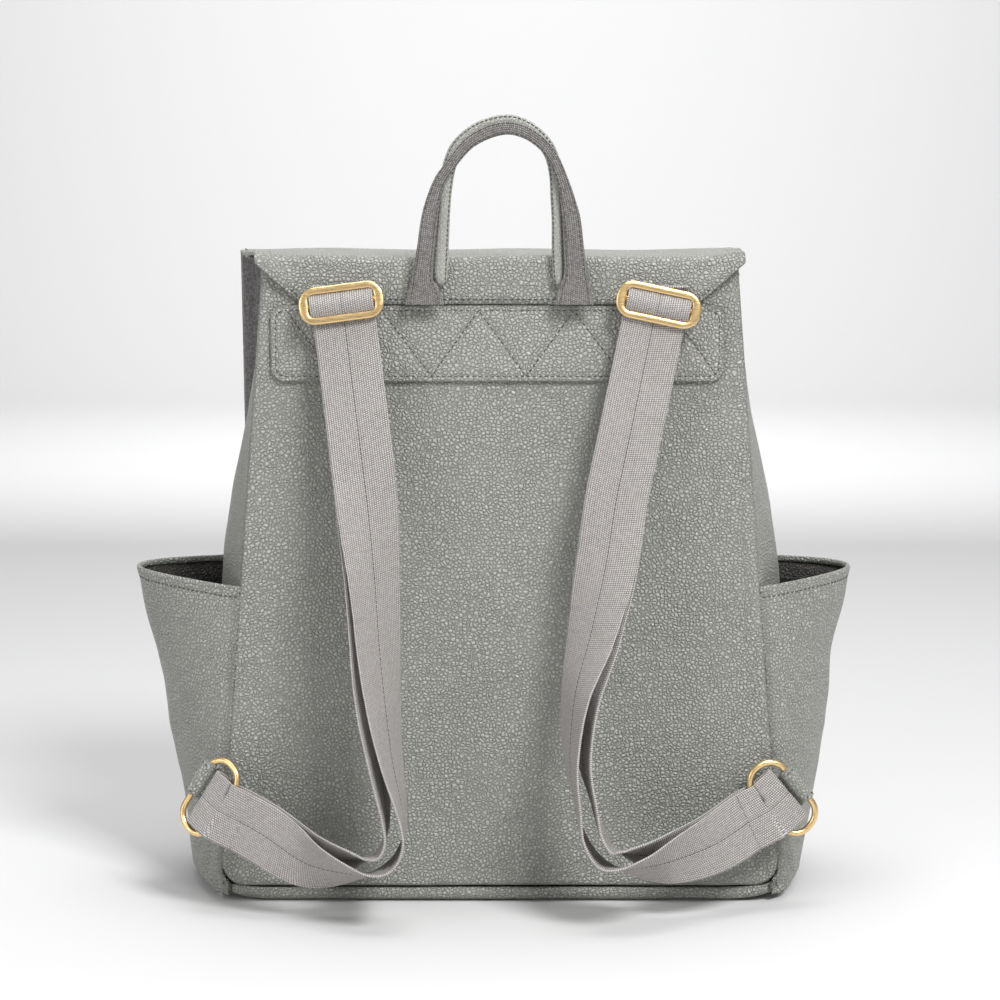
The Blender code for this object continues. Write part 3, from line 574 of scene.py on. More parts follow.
class Finishes:
    """Every material of the bag, made once."""

    def __init__(self) -> None:
        """Make the shared effects, then each finish with its own values."""
        effects = Effects()
        sage = (0.480, 0.487, 0.446)
        self.leather = LeatherFinish("Pebbled Leather", sage, (0.270, 0.275, 0.250),
                                     (0.42, 0.42, 0.40)).make(effects)
        self.yoke = LeatherFinish("Yoke Leather", (0.530, 0.530, 0.490), (0.280, 0.280, 0.256),
                                  (0.44, 0.43, 0.41)).make(effects)
        # a much darker copy of the leather for the pocket's inside, painted shade
        self.inner = LeatherFinish("Pocket Inside Painted Shade", (0.085, 0.078, 0.070), (0.035, 0.032, 0.028),
                                   (0.11, 0.10, 0.09)).make(effects)
        self.handle = LeatherFinish("Handle Leather", (0.39, 0.39, 0.358), (0.22, 0.22, 0.202),
                                    (0.40, 0.40, 0.38), 0.0019, 0.00028).make(effects)
        self.webbing = WebbingFinish("Strap Webbing", (0.540, 0.508, 0.488), (0.125, 0.108, 0.104),
                                     (0.56, 0.53, 0.51)).make(effects)
        self.tape = WebbingFinish("Handle Webbing", (0.205, 0.190, 0.180), (0.060, 0.054, 0.050),
                                  (0.36, 0.34, 0.32), 0.0013, 0.0012).make(effects)
        self.gold = MetalFinish("Brushed Gold", (0.86, 0.62, 0.31), (0.62, 0.43, 0.20)).make(effects)
        self.lining = LiningFinish("Twill Lining", (0.170, 0.158, 0.158), (0.075, 0.068, 0.072),
                                   (0.24, 0.23, 0.23)).make(effects)
        self.foam = PorousFinish("Foam", (0.58, 0.58, 0.55), (0.38, 0.38, 0.36), 0.0012, 0.0003).make(effects)
        self.board = PorousFinish("Fibre Board", (0.24, 0.19, 0.15), (0.13, 0.10, 0.08), 0.0030,
                                  0.0002).make(effects)
        self.thread = PorousFinish("Thread", (0.075, 0.076, 0.068), (0.04, 0.04, 0.036), 0.0005, 0.00008,
                                   0.6).make(effects)
        self.strap_thread = PorousFinish("Strap Thread", (0.115, 0.100, 0.096), (0.06, 0.05, 0.05), 0.0005,
                                         0.00008, 0.6).make(effects)


# ---------------------------------------------------------------- mesh making


def link_mesh(name: str, verts: Sequence[Vector], faces: list[tuple[int, ...]],
              cloth: Sequence[tuple[float, float]] | None = None,
              marks: Sequence[float] | None = None) -> bpy.types.Object:
    """Make a smooth-shaded mesh object with outward faces.

    Args:
        name: the object's name.
        verts: its points in metres.
        faces: its faces as point numbers.
        cloth: place of each point on the flat cloth, in metres.
        marks: how much painted shade each point gets, from 0 to 1, mostly by how close it is to a seam.

    Returns:
        The linked object.
    """
    mesh = bpy.data.meshes.new(name)
    mesh.from_pydata(verts, [], faces)
    shape = bmesh.new()
    shape.from_mesh(mesh)
    bmesh.ops.recalc_face_normals(shape, faces=shape.faces)
    shape.to_mesh(mesh)
    shape.free()
    mesh.shade_smooth()
    if cloth is not None:
        layer = mesh.uv_layers.new(name=CLOTH_MAP)
        for loop in mesh.loops:
            layer.data[loop.index].uv = cloth[loop.vertex_index]
    values = list(marks) if marks is not None else [0.0] * len(verts)
    mesh.attributes.new(SEAM_SHADE_MARK, "FLOAT", "POINT").data.foreach_set("value", values)
    obj = bpy.data.objects.new(name, mesh)
    bpy.context.scene.collection.objects.link(obj)
    return obj


def skin_rows(name: str, rows: Rows, looped: bool = False, cloth: Cloth | None = None,
              marks: Marks | None = None) -> bpy.types.Object:
    """Skin a row of equal closed rings, capped at both ends unless the row is looped.

    Args:
        name: the object's name.
        rows: the rings of points.
        looped: whether the last ring joins the first.
        cloth: flat cloth places, one for each point.
        marks: painted shade marks, one for each point.

    Returns:
        The object.
    """
    size, count = len(rows[0]), len(rows)
    faces: list[tuple[int, ...]] = []
    for row in range(count if looped else count - 1):
        here, there = row * size, ((row + 1) % count) * size
        faces += [(here + i, here + (i + 1) % size, there + (i + 1) % size, there + i) for i in range(size)]
    if not looped:
        faces.append(tuple(range(size)))
        faces.append(tuple(range((count - 1) * size, count * size)))
    return link_mesh(name, [p for row in rows for p in row], faces,
                     [p for row in cloth for p in row] if cloth else None,
                     [p for row in marks for p in row] if marks else None)


def quilt_rows(name: str, face: Rows, back: Rows, cloth: Cloth | None = None,
               marks: Marks | None = None) -> bpy.types.Object:
    """Close a face sheet and a back sheet of equal size into one soft solid.

    Args:
        name: the object's name.
        face: rows of points of the outer sheet.
        back: rows of points of the inner sheet.
        cloth: flat cloth places of the rows.
        marks: painted shade marks of the rows.

    Returns:
        The object.
    """
    rows = [front + list(reversed(rear)) for front, rear in zip(face, back)]
    both = [line + list(reversed(line)) for line in cloth] if cloth else None
    seams = [line + list(reversed(line)) for line in marks] if marks else None
    size, half = len(rows[0]), len(face[0])
    faces: list[tuple[int, ...]] = []
    for row in range(len(rows) - 1):
        here, there = row * size, (row + 1) * size
        faces += [(here + i, here + (i + 1) % size, there + (i + 1) % size, there + i) for i in range(size)]
    for base in (0, (len(rows) - 1) * size):
        faces += [(base + i, base + i + 1, base + size - 2 - i, base + size - 1 - i) for i in range(half - 1)]
    return link_mesh(name, [p for row in rows for p in row], faces,
                     [p for row in both for p in row] if both else None,
                     [p for row in seams for p in row] if seams else None)


def dress(obj: bpy.types.Object, material: bpy.types.Material) -> bpy.types.Object:
    """Give a piece its material.

    Args:
        obj: the piece.
        material: its material.

    Returns:
        The same piece.
    """
    obj.data.materials.append(material)
    return obj


def roll(depth: float, radius: float) -> float:
    """How far a rolled edge has turned down at a distance from the edge.

    Args:
        depth: distance from the edge.
        radius: radius of the roll.

    Returns:
        The drop, from the radius at the edge to 0.
    """
    if depth >= radius:
        return 0.0
    share = 1.0 - max(depth, 0.0) / radius
    return radius * (1.0 - math.sqrt(max(0.0, 1.0 - share * share)))


def bell(distance: float, width: float) -> float:
    """A smooth bump that is 1 at distance 0."""
    return math.exp(-((distance / width) ** 2))


def ease(share: float) -> float:
    """Smooth step from 0 to 1."""
    share = min(max(share, 0.0), 1.0)
    return share * share * (3.0 - 2.0 * share)


def drift(point: Vector, size: float, amount: float, seed: float = 0.0) -> float:
    """Slow uneven swell of soft leather.

    Args:
        point: place on the piece.
        size: distance over which it changes.
        amount: largest swell.
        seed: moves the pattern, so that pieces differ.

    Returns:
        The swell in metres.
    """
    return amount * noise.noise(point / size + Vector((seed, seed * 1.7, seed * 0.6)))


def spaced(start: float, end: float, count: int, steps: Sequence[float] = EDGE_STEPS) -> list[float]:
    """Positions from start to end that stand close together near both ends.

    Args:
        start: first position.
        end: last position.
        count: number of even steps between the close ones.
        steps: distances of the close ones from an end.

    Returns:
        The positions in order.
    """
    way = 1.0 if end > start else -1.0
    low, high = start + way * steps[-1], end - way * steps[-1]
    middle = [low + (high - low) * k / count for k in range(1, count)]
    return ([start + way * s for s in steps] + middle + [end - way * s for s in reversed(steps)])


def smooth_route(stations: Sequence[Sequence[float]], steps: int) -> list[tuple[float, ...]]:
    """Pass a Catmull-Rom curve through a row of stations.

    Args:
        stations: rows of equal length.
        steps: points for each gap.

    Returns:
        The finer rows.
    """
    route: list[tuple[float, ...]] = []
    last = len(stations) - 1
    for i in range(last):
        before, a = stations[max(i - 1, 0)], stations[i]
        b, after = stations[i + 1], stations[min(i + 2, last)]
        for k in range(steps):
            t = k / steps
            route.append(tuple(
                0.5 * (2 * q + (r - p) * t + (2 * p - 5 * q + 4 * r - s) * t ** 2 + (3 * q - p - 3 * r + s) * t ** 3)
                for p, q, r, s in zip(before, a, b, after)))
    route.append(tuple(stations[last]))
    return route


def to_segment(point: tuple[float, float], start: tuple[float, float], end: tuple[float, float]) -> float:
    """Distance from a point to a straight line between two others, all on one plane.

    Args:
        point: the point.
        start: one end of the line.
        end: its other end.

    Returns:
        The distance.
    """
    run = (end[0] - start[0], end[1] - start[1])
    reach = (point[0] - start[0], point[1] - start[1])
    share = (run[0] * reach[0] + run[1] * reach[1]) / (run[0] ** 2 + run[1] ** 2)
    share = min(max(share, 0.0), 1.0)
    return math.hypot(reach[0] - run[0] * share, reach[1] - run[1] * share)


@dataclass(frozen=True)
class Fold:
    """A soft crease between two points of a patch, in its own two directions."""

    start: tuple[float, float]
    end: tuple[float, float]
    width: float
    depth: float

    def at(self, a: float, b: float) -> float:
        """How far the crease pulls a point in."""
        return self.depth * bell(to_segment((a, b), self.start, self.end), self.width)


@dataclass(frozen=True)
class PatchCut:
    """Outline of a patch that stands in X and Z, with rounded lower and upper corners."""

    low: float
    high: float
    left: Callable[[float], float]
    right: Callable[[float], float]
    low_corner: float = 0.0
    high_corner: float = 0.0

    def grid(self, step: float) -> list[list[tuple[float, float, float]]]:
        """Rows of points of the patch.

        Args:
            step: distance between points away from the edges.

        Returns:
            For each point its X, its Z and its depth inside the outline.
        """
        heights = spaced(self.low, self.high, max(2, round((self.high - self.low) / step)))
        widest = max(self.right(z) - self.left(z) for z in (self.low, self.high))
        count = max(2, round(widest / step))
        rows = []
        for z in heights:
            below, above = z - self.low, self.high - z
            corner, climb = ((self.low_corner, below) if below < above else (self.high_corner, above))
            cut = corner - math.sqrt(max(0.0, corner ** 2 - (corner - min(climb, corner)) ** 2))
            left, right = self.left(z) + cut, self.right(z) - cut
            row = []
            for x in spaced(left, right, count):
                side = min(x - self.left(z), self.right(z) - x)
                depth = min(below, above, side)
                if climb < corner and side < corner:
                    depth = corner - math.hypot(corner - side, corner - climb)
                row.append((x, z, max(depth, 0.0)))
            rows.append(row)
        return rows


def sew_patch(name: str, cut: PatchCut, face: Callable[[float, float], float],
              back: Callable[[float, float], float], step: float, edge: float, outward: float,
              relief: Callable[[float, float, float], float]) -> bpy.types.Object:
    """Make a soft patch with rolled edges between two surfaces.

    Args:
        name: the object's name.
        cut: its outline.
        face: Y of the outer surface at an X and a Z.
        back: Y of the inner surface.
        step: distance between points.
        edge: radius of the rolled edge.
        outward: direction of the outer surface along Y.
        relief: how far a point stands out, from its X, Z and depth inside the outline.

    Returns:
        The object.
    """
    grid = cut.grid(step)
    front = [[Vector((x, face(x, z) + outward * (relief(x, z, d) - roll(d, edge)), z)) for x, z, d in row]
             for row in grid]
    rear = [[Vector((x, back(x, z), z)) for x, z, d in row] for row in grid]
    # painted shade fades in towards the rolled edges
    marks = [[bell(d, SEAM_SHADE_FADE) for _, _, d in row] for row in grid]
    cloth = [[(x, z) for x, z, _ in row] for row in grid]
    return quilt_rows(name, front, rear, cloth, marks)


# ---------------------------------------------------------------- stitches

Seam = list[tuple[Vector, Vector]]


@dataclass(frozen=True)
class Stitching:
    """A thread and the way it is sewn."""

    length: float = 0.0026
    pitch: float = 0.0037
    radius: float = 0.00038
    sides: int = 6

    def march(self, seam: Seam) -> list[tuple[Vector, Vector, Vector]]:
        """Place stitches along a seam.

        Args:
            seam: points of the seam with the surface's outward direction.

        Returns:
            For each stitch its middle, its direction and its outward direction.
        """
        placed, walked, target = [], 0.0, self.pitch / 2.0
        for (a, up), (b, _) in zip(seam, seam[1:]):
            span = (b - a).length
            while span > 0.0 and target <= walked + span:
                placed.append((a.lerp(b, (target - walked) / span), (b - a) / span, up))
                target += self.pitch
            walked += span
        return placed

    def sew(self, name: str, seams: Sequence[Seam]) -> bpy.types.Object:
        """Sew every seam with small raised stitches that dip into the cloth at both ends.

        Args:
            name: the object's name.
            seams: the seams.

        Returns:
            One mesh of all the stitches.
        """
        verts: list[Vector] = []
        faces: list[tuple[int, ...]] = []
        stages = ((-0.5, 0.35, -0.7), (-0.32, 0.95, 0.15), (0.32, 0.95, 0.15), (0.5, 0.35, -0.7))
        for seam in seams:
            for middle, line, up in self.march(seam):
                up = (up - line * up.dot(line)).normalized()
                across = line.cross(up)
                base = len(verts)
                for along, girth, lift in stages:
                    centre = middle + line * along * self.length + up * lift * self.radius
                    for k in range(self.sides):
                        a = 2.0 * math.pi * k / self.sides
                        verts.append(centre + (across * math.cos(a) + up * math.sin(a)) * girth * self.radius)
                for row in range(len(stages) - 1):
                    here, there = base + row * self.sides, base + (row + 1) * self.sides
                    faces += [(here + k, here + (k + 1) % self.sides, there + (k + 1) % self.sides, there + k)
                              for k in range(self.sides)]
                faces.append(tuple(base + k for k in range(self.sides)))
                faces.append(tuple(base + 3 * self.sides + k for k in range(self.sides)))
        return link_mesh(name, verts, faces)


LEATHER_STITCH = Stitching()
TAPE_STITCH = Stitching(length=0.0021, pitch=0.0029, radius=0.00030)


def flat_seam(points: Sequence[tuple[float, float]], y_of: Callable[[float, float], float],
              outward: Vector, step: float = 0.002) -> Seam:
    """A seam on an upright patch through points in X and Z.

    Args:
        points: corners of the seam.
        y_of: Y of the surface at an X and a Z.
        outward: the way the surface faces.
        step: distance between the seam's points.

    Returns:
        The seam.
    """
    seam: Seam = []
    for (x0, z0), (x1, z1) in zip(points, points[1:]):
        count = max(1, round(math.hypot(x1 - x0, z1 - z0) / step))
        for k in range(count + (1 if (x1, z1) == tuple(points[-1]) else 0)):
            x, z = x0 + (x1 - x0) * k / count, z0 + (z1 - z0) * k / count
            seam.append((Vector((x, y_of(x, z), z)), outward))
    return seam


def rounded_loop(left: float, right: float, low: float, high: float, radius: float,
                 steps: int = 8) -> list[tuple[float, float]]:
    """A closed rounded rectangle as points in X and Z.

    Args:
        left: its lowest X.
        right: its highest X.
        low: its lowest Z.
        high: its highest Z.
        radius: radius of its corners.
        steps: points for each corner.

    Returns:
        The points, the first one repeated at the end.
    """
    points = []
    corners = ((right - radius, high - radius, 0), (left + radius, high - radius, 1),
               (left + radius, low + radius, 2), (right - radius, low + radius, 3))
    for x, z, quarter in corners:
        for k in range(steps + 1):
            a = math.pi / 2.0 * (quarter + k / steps)
            points.append((x + radius * math.cos(a), z + radius * math.sin(a)))
    return points + points[:1]


# ---------------------------------------------------------------- the bag's form


@dataclass(frozen=True)
class BagForm:
    """The body's tapered form, read from the frame."""

    half_base: float
    taper: float
    back: float
    front_base: float
    front_taper: float
    rim: float
    back_top: float
    base_height: float
    side_bulge: float = 0.018
    wall: float = 0.0033          # a panel's thickness and the space behind it

    @classmethod
    def from_frame(cls) -> "BagForm":
        """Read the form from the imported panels.

        Returns:
            The form.
        """
        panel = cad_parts["back_panel"].data.vertices
        low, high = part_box("back_panel")
        top = max(v.co.x for v in panel if v.co.z > high.z - 0.001)
        widest = max(panel, key=lambda v: v.co.x).co
        taper = (widest.x - top) / (high.z - widest.z)
        front_low, front_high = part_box("front_panel")
        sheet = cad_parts["front_panel"].data.vertices
        front_top = max(v.co.y for v in sheet if v.co.z > front_high.z - 0.001)
        lean = (front_high.y - front_top) / (front_high.z - front_low.z)
        return cls(half_base=widest.x + taper * widest.z, taper=taper, back=low.y,
                   front_base=front_high.y + lean * front_low.z, front_taper=lean, rim=front_high.z,
                   back_top=high.z, base_height=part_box("base_tray")[1].z)

    def half(self, z: float) -> float:
        """Half width of the panels at a height."""
        return self.half_base - self.taper * z

    def front(self, z: float) -> float:
        """Outer face of the front panel at a height."""
        return self.front_base - self.front_taper * z

    def swell(self, z: float) -> float:
        """How far a side stands out at the middle of its depth."""
        grow = ease((z - self.base_height) / 0.12)
        return self.side_bulge * grow * (1.0 - 0.92 * ease((z - 0.20) / 0.17))

    def side(self, share: float, z: float) -> tuple[float, float]:
        """Place of a side panel's point.

        Args:
            share: 0 at the back edge, 1 at the front edge.
            z: height.

        Returns:
            Its distance from the middle plane and its Y.
        """
        start, end = self.back + self.wall, self.front(z) - self.wall
        return self.half(z) + self.swell(z) * math.sin(math.pi * share), start + (end - start) * share


@dataclass
class SoftBody:
    """Panels, sides, base, bound edges and linings of the body."""

    form: BagForm
    finishes: Finishes
    step: float = 0.0030
    edge: float = 0.0026
    corner: float = 0.017
    lift: float = 0.0036
    lift_reach: float = 0.032
    undulation: float = 0.0014

    def keep(self, obj: bpy.types.Object, material: bpy.types.Material, slot: Slot,
             *nodes: str) -> bpy.types.Object:
        """Dress a piece, let it ride on the bag and stand for its nodes."""
        dress(obj, material)
        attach(obj, Body.BAG.value)
        if nodes:
            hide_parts(*nodes)
        return obj

    def back_y(self, x: float, z: float) -> float:
        """Y of the back panel's outer face, with its slow swells.

        Args:
            x: place across.
            z: height.

        Returns:
            The Y.
        """
        place = Vector((x, 0.0, z))
        calm = 1.0 - ease((z - 0.30) / 0.03)
        swell = drift(place, 0.085, self.undulation, 3.1) + drift(place, 0.032, 0.35 * self.undulation, 8.2)
        pillow = 0.0014 * math.cos(0.5 * math.pi * x / self.form.half(z)) * ease((z - 0.01) / 0.05)
        return self.form.back - calm * (swell * 0.8 + pillow) + 0.0002

    def pucker(self, x: float, z: float, depth: float) -> float:
        """Small pulls that the seam's thread makes along an edge.

        Args:
            x: place across.
            z: height.
            depth: distance inside the edge.

        Returns:
            How far the leather stands out.
        """
        wave = noise.noise(Vector((x, 0.0, z)) / 0.0075 + Vector((0.0, 4.0, 0.0)))
        return 0.00045 * wave * bell(depth - 0.0035, 0.004) + 0.0005 * bell(depth - 0.0045, 0.0028)

    def build_panels(self) -> None:
        """Back and front panels with rolled edges and rounded lower corners."""
        form = self.form
        low = form.base_height + 0.0003
        dents = (Fold((-0.150, 0.060), (-0.172, 0.020), 0.006, 0.0010),
                 Fold((0.146, 0.052), (0.170, 0.018), 0.006, 0.0010),
                 Fold((-0.020, 0.018), (0.070, 0.022), 0.010, 0.0008))

        def relief(x: float, z: float, depth: float) -> float:
            """Puckers along the seams, less the folds."""
            return self.pucker(x, z, depth) - sum(fold.at(x, z) for fold in dents)

        cut = PatchCut(low, form.back_top, lambda z: -form.half(z), form.half, self.corner)
        back = sew_patch("leather_back", cut, self.back_y, lambda x, z: form.back + 0.0030, self.step,
                         self.edge, -1.0, relief)
        self.keep(back, self.finishes.leather, Slot.LEATHER, "back_panel")

        def front_y(x: float, z: float) -> float:
            """Y of the front panel's outer face."""
            place = Vector((x, 0.3, z))
            pillow = 0.0012 * math.cos(0.5 * math.pi * x / form.half(z)) * (1.0 - ease((z - 0.22) / 0.05))
            swell = drift(place, 0.08, 0.0007, 5.0) * (1.0 - ease((z - 0.22) / 0.05))
            return form.front(z) + swell + pillow - 0.0004

        cut = PatchCut(low, form.rim, lambda z: -form.half(z), form.half, self.corner)
        front = sew_patch("leather_front", cut, front_y, lambda x, z: form.front(z) - 0.0030, 0.0045,
                          self.edge, 1.0, self.pucker)
        self.keep(front, self.finishes.leather, Slot.LEATHER, "front_panel")

    def side_rows(self, sign: float, inset: float, low: float, high: float, columns: int, rows: int,
                  soft: bool) -> tuple[Rows, Marks, Cloth]:
        """Rows of points of one side wall.

        Args:
            sign: direction of the side along X.
            inset: distance inside the outer face.
            low: lowest height.
            high: highest height.
            columns: even steps across the depth.
            rows: even steps up.
            soft: whether the edges roll in and the leather swells.

        Returns:
            The points, their painted shade marks by closeness to a seam and their cloth places.
        """
        points: Rows = []
        marks: Marks = []
        cloth: Cloth = []
        for z in spaced(low, high, rows):
            start, end = self.form.side(0.0, z)[1], self.form.side(1.0, z)[1]
            line, mark, flat = [], [], []
            for y in spaced(start, end, columns):
                share = (y - start) / (end - start)
                x, _ = self.form.side(share, z)
                depth = min(y - start, end - y, z - low + 0.0012)
                if soft:
                    place = Vector((sign, y, z))
                    calm = math.sin(math.pi * share)
                    x += calm * (drift(place, 0.045, 0.0016, 2.0) + drift(place, 0.018, 0.0005, 6.0))
                    x -= roll(depth, self.edge) * 0.75
                line.append(Vector((sign * (x - inset), y, z)))
                # painted shade near the seams at the side's edges
                mark.append(bell(depth, SEAM_SHADE_FADE))
                flat.append((y, z))
            points.append(line)
            marks.append(mark)
            cloth.append(flat)
        return points, marks, cloth

    def build_sides(self) -> None:
        """Side panels with their linings and the rolled bindings on top."""
        form = self.form
        low = form.base_height + 0.0003
        for side in Side:
            face, marks, cloth = self.side_rows(side.sign, 0.0, low, form.rim, 34, 84, True)
            rear, _, _ = self.side_rows(side.sign, 0.0024, low, form.rim, 34, 84, False)
            gusset = quilt_rows(f"leather_side_{side.value}", face, rear, cloth, marks)
            self.keep(gusset, self.finishes.leather, Slot.LEATHER, f"{side.value}_gusset")
            outer, marks, cloth = self.side_rows(side.sign, 0.0027, low, form.rim, 12, 24, False)
            inner, _, _ = self.side_rows(side.sign, 0.0034, low, form.rim, 12, 24, False)
            lining = quilt_rows(f"lining_side_{side.value}", outer, inner, cloth, marks)
            self.keep(lining, self.finishes.lining, Slot.LINING, f"{side.value}_lining")
            depth = form.side(1.0, low)[1] - form.side(0.0, low)[1]
            self.build_side_binding(side)

    def build_side_binding(self, side: Side) -> None:
        """Rolled tape on a side panel's top edge.

        Args:
            side: which side.
        """
        node = f"{side.value}_top_binding"
        low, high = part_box(node)
        rows, marks = [], []
        for k in range(49):
            share = k / 48
            x, y = self.form.side(share, low.z)
            middle = x + 0.0004 - 0.0020
            height = (high.z - low.z) * (1.0 + 0.08 * noise.noise(Vector((0.0, share * 9.0, side.sign))))
            ring = []
            for i in range(12):
                a = 2.0 * math.pi * i / 12
                ring.append(Vector((side.sign * (middle + 0.0020 * math.cos(a)), y,
                                    low.z + height * (0.5 + 0.5 * math.sin(a)))))
            rows.append(ring)
            # faint painted shade on the binding's underside
            marks.append([0.35 if math.sin(2.0 * math.pi * i / 12) < -0.3 else 0.0 for i in range(12)])
        binding = skin_rows(f"binding_side_{side.value}", rows, marks=marks)
        self.keep(binding, self.finishes.leather, Slot.LEATHER, node)

    def build_front_binding(self) -> None:
        """Rolled tape on the front panel's top edge."""
        low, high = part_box("front_top_binding")
        rows = []
        for k in range(81):
            x = low.x + (high.x - low.x) * k / 80
            middle = (low.y + high.y) / 2.0
            thick = (high.y - low.y) / 2.0
            ring = [Vector((x, middle + thick * math.cos(2.0 * math.pi * i / 12),
                            low.z + (high.z - low.z) * (0.5 + 0.5 * math.sin(2.0 * math.pi * i / 12))))
                    for i in range(12)]
            rows.append(ring)
        binding = skin_rows("binding_front", rows)
        self.keep(binding, self.finishes.leather, Slot.LEATHER, "front_top_binding")

    def corner_lift(self, place: Vector) -> float:
        """How far the base's edge rises off the floor towards its rounded corners."""
        ends = ease((abs(place.x) - self.form.half_base + self.lift_reach) / self.lift_reach)
        return self.lift * ends * ease((abs(place.y) + self.form.back + self.lift_reach) / self.lift_reach)

    def build_base(self) -> None:
        """Base band with a soft bottom edge, and its stiffener board."""
        form = self.form
        profile = ((0.060, 0.0006), (0.020, 0.0004), (0.008, 0.0003), (0.0046, 0.0007), (0.0024, 0.0017),
                   (0.0010, 0.0031), (0.0003, 0.0049), (0.0002, 0.0066), (0.0008, 0.0082), (0.0019, 0.0093),
                   (0.0034, 0.0090), (0.0036, 0.0060), (0.0036, 0.0034), (0.060, 0.0030))
        half_x, half_y = form.half_base, -form.back
        last = 10
        parts = {last: 56, 2 * last + 1: 22, 3 * last + 2: 56, 4 * last + 3: 22}
        rows, marks = [], []
        for inset, z in profile:
            radius = max(self.corner - inset * 0.5, 0.004)
            loop = rounded_loop(-half_x + inset, half_x - inset, -half_y + inset, half_y - inset, radius,
                                last)
            soft = 0.001 < z < 0.0088 and inset < 0.01
            ring = []
            for i, (a, b) in enumerate(zip(loop, loop[1:])):
                for k in range(parts.get(i, 1)):
                    share = k / parts.get(i, 1)
                    place = Vector((a[0] + (b[0] - a[0]) * share, a[1] + (b[1] - a[1]) * share, z))
                    place.z += drift(place, 0.05, 0.0005, 1.0) if soft else 0.0
                    place.z += self.corner_lift(place) * (1.0 - 0.45 * min(z / self.form.base_height, 1.0))
                    ring.append(place)
            rows.append(ring)
            # painted shade along the top of the base band, where it meets the panels
            marks.append([1.0 if z > 0.0088 else 0.0] * len(ring))
        base = skin_rows("leather_base", rows, marks=marks)
        self.keep(base, self.finishes.leather, Slot.LEATHER, "base_tray")
        self.build_board()

    def build_board(self) -> None:
        """Stiffener board with eased edges, lying in the base."""
        low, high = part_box("base_board")
        rows = []
        profile = ((0.030, 0.0), (0.0060, 0.0), (0.0050, 0.25), (0.0050, 0.75), (0.0060, 1.0), (0.030, 1.0))
        for inset, share in profile:
            loop = rounded_loop(low.x + inset, high.x - inset, low.y + inset, high.y - inset,
                                0.030 - inset * 0.5)
            z = low.z + 0.0008 + (high.z - low.z - 0.0008) * share
            rows.append([Vector((x, y, z)) for x, y in loop[:-1]])
        self.keep(skin_rows("board_base", rows), self.finishes.board, Slot.BOARD, "base_board")

    def build_inside(self) -> None:
        """Linings of the back and front and the padded back."""
        form = self.form
        for name, y_of, thick in (("back_lining", lambda z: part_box("back_lining")[0].y, 0.0008),
                                  ("front_lining", lambda z: form.front(z) - form.wall - 0.0008, 0.0008)):
            low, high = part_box(name)
            trim = form.half(low.z) - high.x
            cut = PatchCut(low.z, high.z, lambda z, t=trim: -form.half(z) + t, lambda z, t=trim: form.half(z) - t)
            plane = {z: y_of(z) for z in (low.z, high.z)}
            base_y, top_y = plane[low.z], plane[high.z]

            def sheet_y(x: float, z: float, a: float = base_y, b: float = top_y, lo: float = low.z,
                        hi: float = high.z) -> float:
                """Y of the lining's outer side."""
                return a + (b - a) * (z - lo) / (hi - lo)

            lining = sew_patch(name + "_cloth", cut, sheet_y, lambda x, z, f=sheet_y, t=thick: f(x, z) + t,
                               0.009, 0.0004, -1.0,
                               lambda x, z, d: 0.0001 * noise.noise(Vector((x, 1.0, z)) / 0.03))
            self.keep(lining, self.finishes.lining, Slot.LINING, name)
            area = (form.half(low.z) + form.half(high.z) - 2.0 * trim) * (high.z - low.z)
        low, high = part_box("back_pad")
        trim = form.half(low.z) - high.x
        middle, thick = (low.y + high.y) / 2.0, (high.y - low.y) / 2.0
        cut = PatchCut(low.z, high.z, lambda z: -form.half(z) + trim, lambda z: form.half(z) - trim, 0.006)
        pad = sew_patch("foam_back_pad", cut, lambda x, z: middle - thick * 0.96,
                        lambda x, z: middle + thick * 0.96, 0.008, 0.0045, -1.0,
                        lambda x, z, d: -0.0003 + 0.0003 * noise.noise(Vector((x, 2.0, z)) / 0.02))
        self.keep(pad, self.finishes.foam, Slot.FOAM, "back_pad")

    def build(self) -> None:
        """Build the whole body."""
        self.build_panels()
        self.build_sides()
        self.build_front_binding()
        self.build_base()
        self.build_inside()


# ---------------------------------------------------------------- yoke and flap


